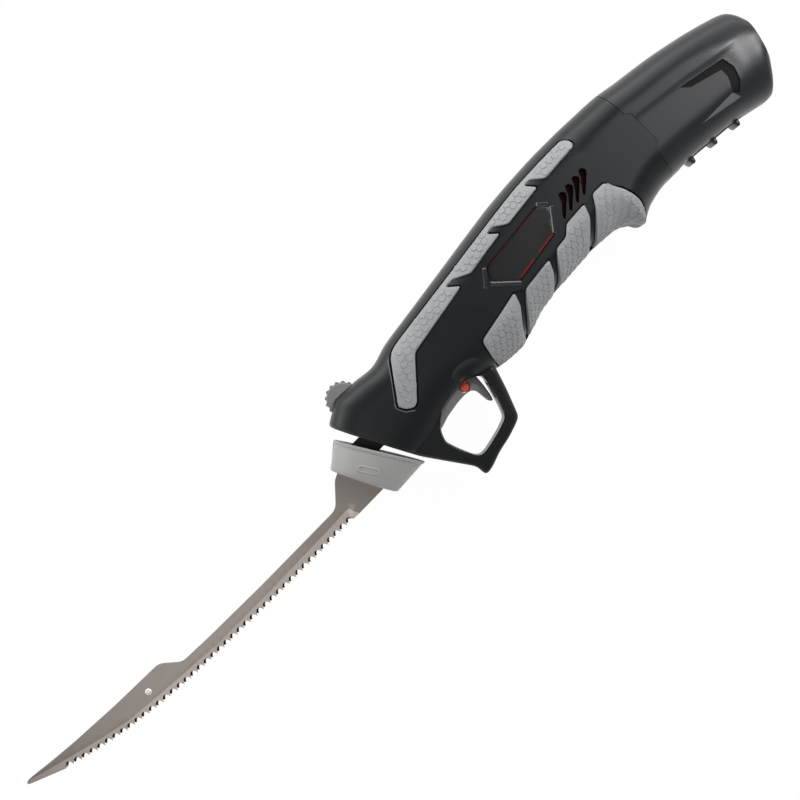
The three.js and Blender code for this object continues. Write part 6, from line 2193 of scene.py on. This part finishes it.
@dataclass
class Studio:
    """Floor, lamps and camera."""

    bench: Bench
    camera_centre: Pair = (46.5, 6.65)
    camera_height: float = 650.0
    camera_span: float = 376.0
    camera_turn: float = -45.0
    floor_size: float = 3.0
    floor_glow: float = 0.985
    overhead: float = 0.12
    horizon: float = 2.15
    falloff: float = 2.0
    spine_share: float = 0.9
    lamps: tuple[tuple[str, Triple, Pair, float], ...] = (
        ("spine_box", (0.05, 0.95, 0.42), (1.4, 0.5), 1.9),
        ("belly_box", (0.05, -0.95, 0.34), (1.4, 0.4), 0.3),
        ("rear_box", (0.65, 0.02, 0.62), (0.16, 0.2), 3.2),
        ("blade_box", (-0.28, 0.0, 0.7), (0.42, 0.3), 0.38),
        ("battery_box", (0.45, 0.02, 0.7), (0.4, 0.34), 0.85),
    )

    def floor(self) -> None:
        """White floor that glows for the camera, keeps a faint shadow and is clear from below."""
        span = (-self.floor_size, self.floor_size)
        mesh = bpy.data.meshes.new("floor")
        mesh.from_pydata(lifted(box_outline(span, span), 0.0).tolist(), [], [(0, 1, 2, 3)])
        floor = added("floor", mesh)
        floor.location.z = CAD_BOX[0][2] - 0.0005
        material = bpy.data.materials.new("floor_white")
        graph = blank_graph(material)
        paint = graph.out("ShaderNodeBsdfDiffuse", {"Color": (0.86, 0.86, 0.86, 1)})
        glow = graph.out("ShaderNodeEmission", {"Color": (1, 1, 1, 1), "Strength": 1.0})
        path = graph.node("ShaderNodeLightPath")
        seen = graph.maths("MAXIMUM", path.outputs["Is Camera Ray"], path.outputs["Is Glossy Ray"])
        seen = graph.maths("MAXIMUM", seen, path.outputs["Is Transmission Ray"])
        share = graph.maths("MULTIPLY", seen, self.floor_glow)
        mix = graph.out("ShaderNodeMixShader", {0: share, 1: paint, 2: glow})
        below = graph.node("ShaderNodeNewGeometry").outputs["Backfacing"]
        clear = graph.out("ShaderNodeBsdfTransparent")
        sided = graph.out("ShaderNodeMixShader", {0: below, 1: mix, 2: clear})
        graph.node("ShaderNodeOutputMaterial", {"Surface": sided})
        mesh.materials.append(material)

    def world(self) -> None:
        """White surroundings, dim overhead, bright near the horizon and brighter on the spine's side."""
        world = bpy.data.worlds.new("studio")
        graph = blank_graph(world)
        direction = graph.node("ShaderNodeTexCoord").outputs["Generated"]
        split = graph.node("ShaderNodeSeparateXYZ", {0: direction})
        low = graph.maths("SUBTRACT", 1.0, graph.maths("ABSOLUTE", split.outputs["Z"]))
        glow = graph.maths("MULTIPLY", graph.maths("POWER", low, self.falloff), self.horizon)
        sided = graph.maths("MULTIPLY_ADD", split.outputs["Y"], self.spine_share, 1.0)
        strength = graph.maths("MULTIPLY_ADD", glow, sided, self.overhead)
        light = graph.out("ShaderNodeBackground", {"Color": (1, 1, 1, 1), "Strength": strength})
        white = graph.out("ShaderNodeBackground", {"Color": (1, 1, 1, 1), "Strength": 1.0})
        seen = graph.node("ShaderNodeLightPath").outputs["Is Camera Ray"]
        mix = graph.out("ShaderNodeMixShader", {0: seen, 1: light, 2: white})
        graph.node("ShaderNodeOutputWorld", {"Surface": mix})
        bpy.context.scene.world = world

    def lamp(self, name: str, place: Triple, size: Pair, power: float) -> None:
        """Soft box that points at the middle of the knife.

        Args:
            name: Name of the lamp.
            place: Its place in the frame, in metres.
            size: Width and height in metres.
            power: Watts.
        """
        data = bpy.data.lights.new(name, "AREA")
        data.shape = "RECTANGLE"
        data.size, data.size_y = size
        data.energy = power
        made = added(name, data)
        made.location = place
        away = Vector(place) - Vector((0, 0, 0.02))
        made.rotation_euler = away.to_track_quat("Z", "Y").to_euler()

    def camera(self) -> None:
        """Camera over the left side, as the photograph is taken."""
        data = bpy.data.cameras.new("camera")
        data.sensor_fit = "AUTO"
        data.angle = 2 * math.atan(self.camera_span / 2 / self.camera_height)
        data.clip_end = 50.0
        made = added("camera", data)
        made.location = self.bench.place(np.array([[*self.camera_centre, self.camera_height]]))[0]
        made.rotation_euler = (0, 0, math.radians(self.camera_turn))
        bpy.context.scene.camera = made

    def build(self) -> None:
        """Set the stage."""
        bpy.context.scene.view_settings.view_transform = "Standard"
        self.floor()
        self.world()
        for name, place, size, power in self.lamps:
            self.lamp(name, place, size, power)
        self.camera()


def dress_frame() -> None:
    """Give every CAD node the finish of its slot."""
    for part in frame["record"]["subparts"]:
        node = frame["nodes"].get(part["node"])
        if node is None:
            continue
        material = finish_of(Slot(part["material_slot"]))
        for holder in node.material_slots:
            holder.material = material


def main() -> None:
    """Build the knife and the studio."""
    logging.basicConfig(level=logging.INFO, format="%(name)s: %(message)s")
    bench = Bench()
    form = HandleForm()
    grips = Grips(bench, form)
    trim = SideTrim(bench, form)
    dress_frame()
    Housing(bench, form).build(
        [joined_parts(grips.pockets() + trim.pockets()), joined_parts(grips.channels())])
    grips.build()
    trim.build()
    Battery(bench, form).build()
    BladeSet(bench).build()
    Controls(bench).build()
    Springs(bench).build()
    Studio(bench).build()


if __name__ == "__main__":
    main()
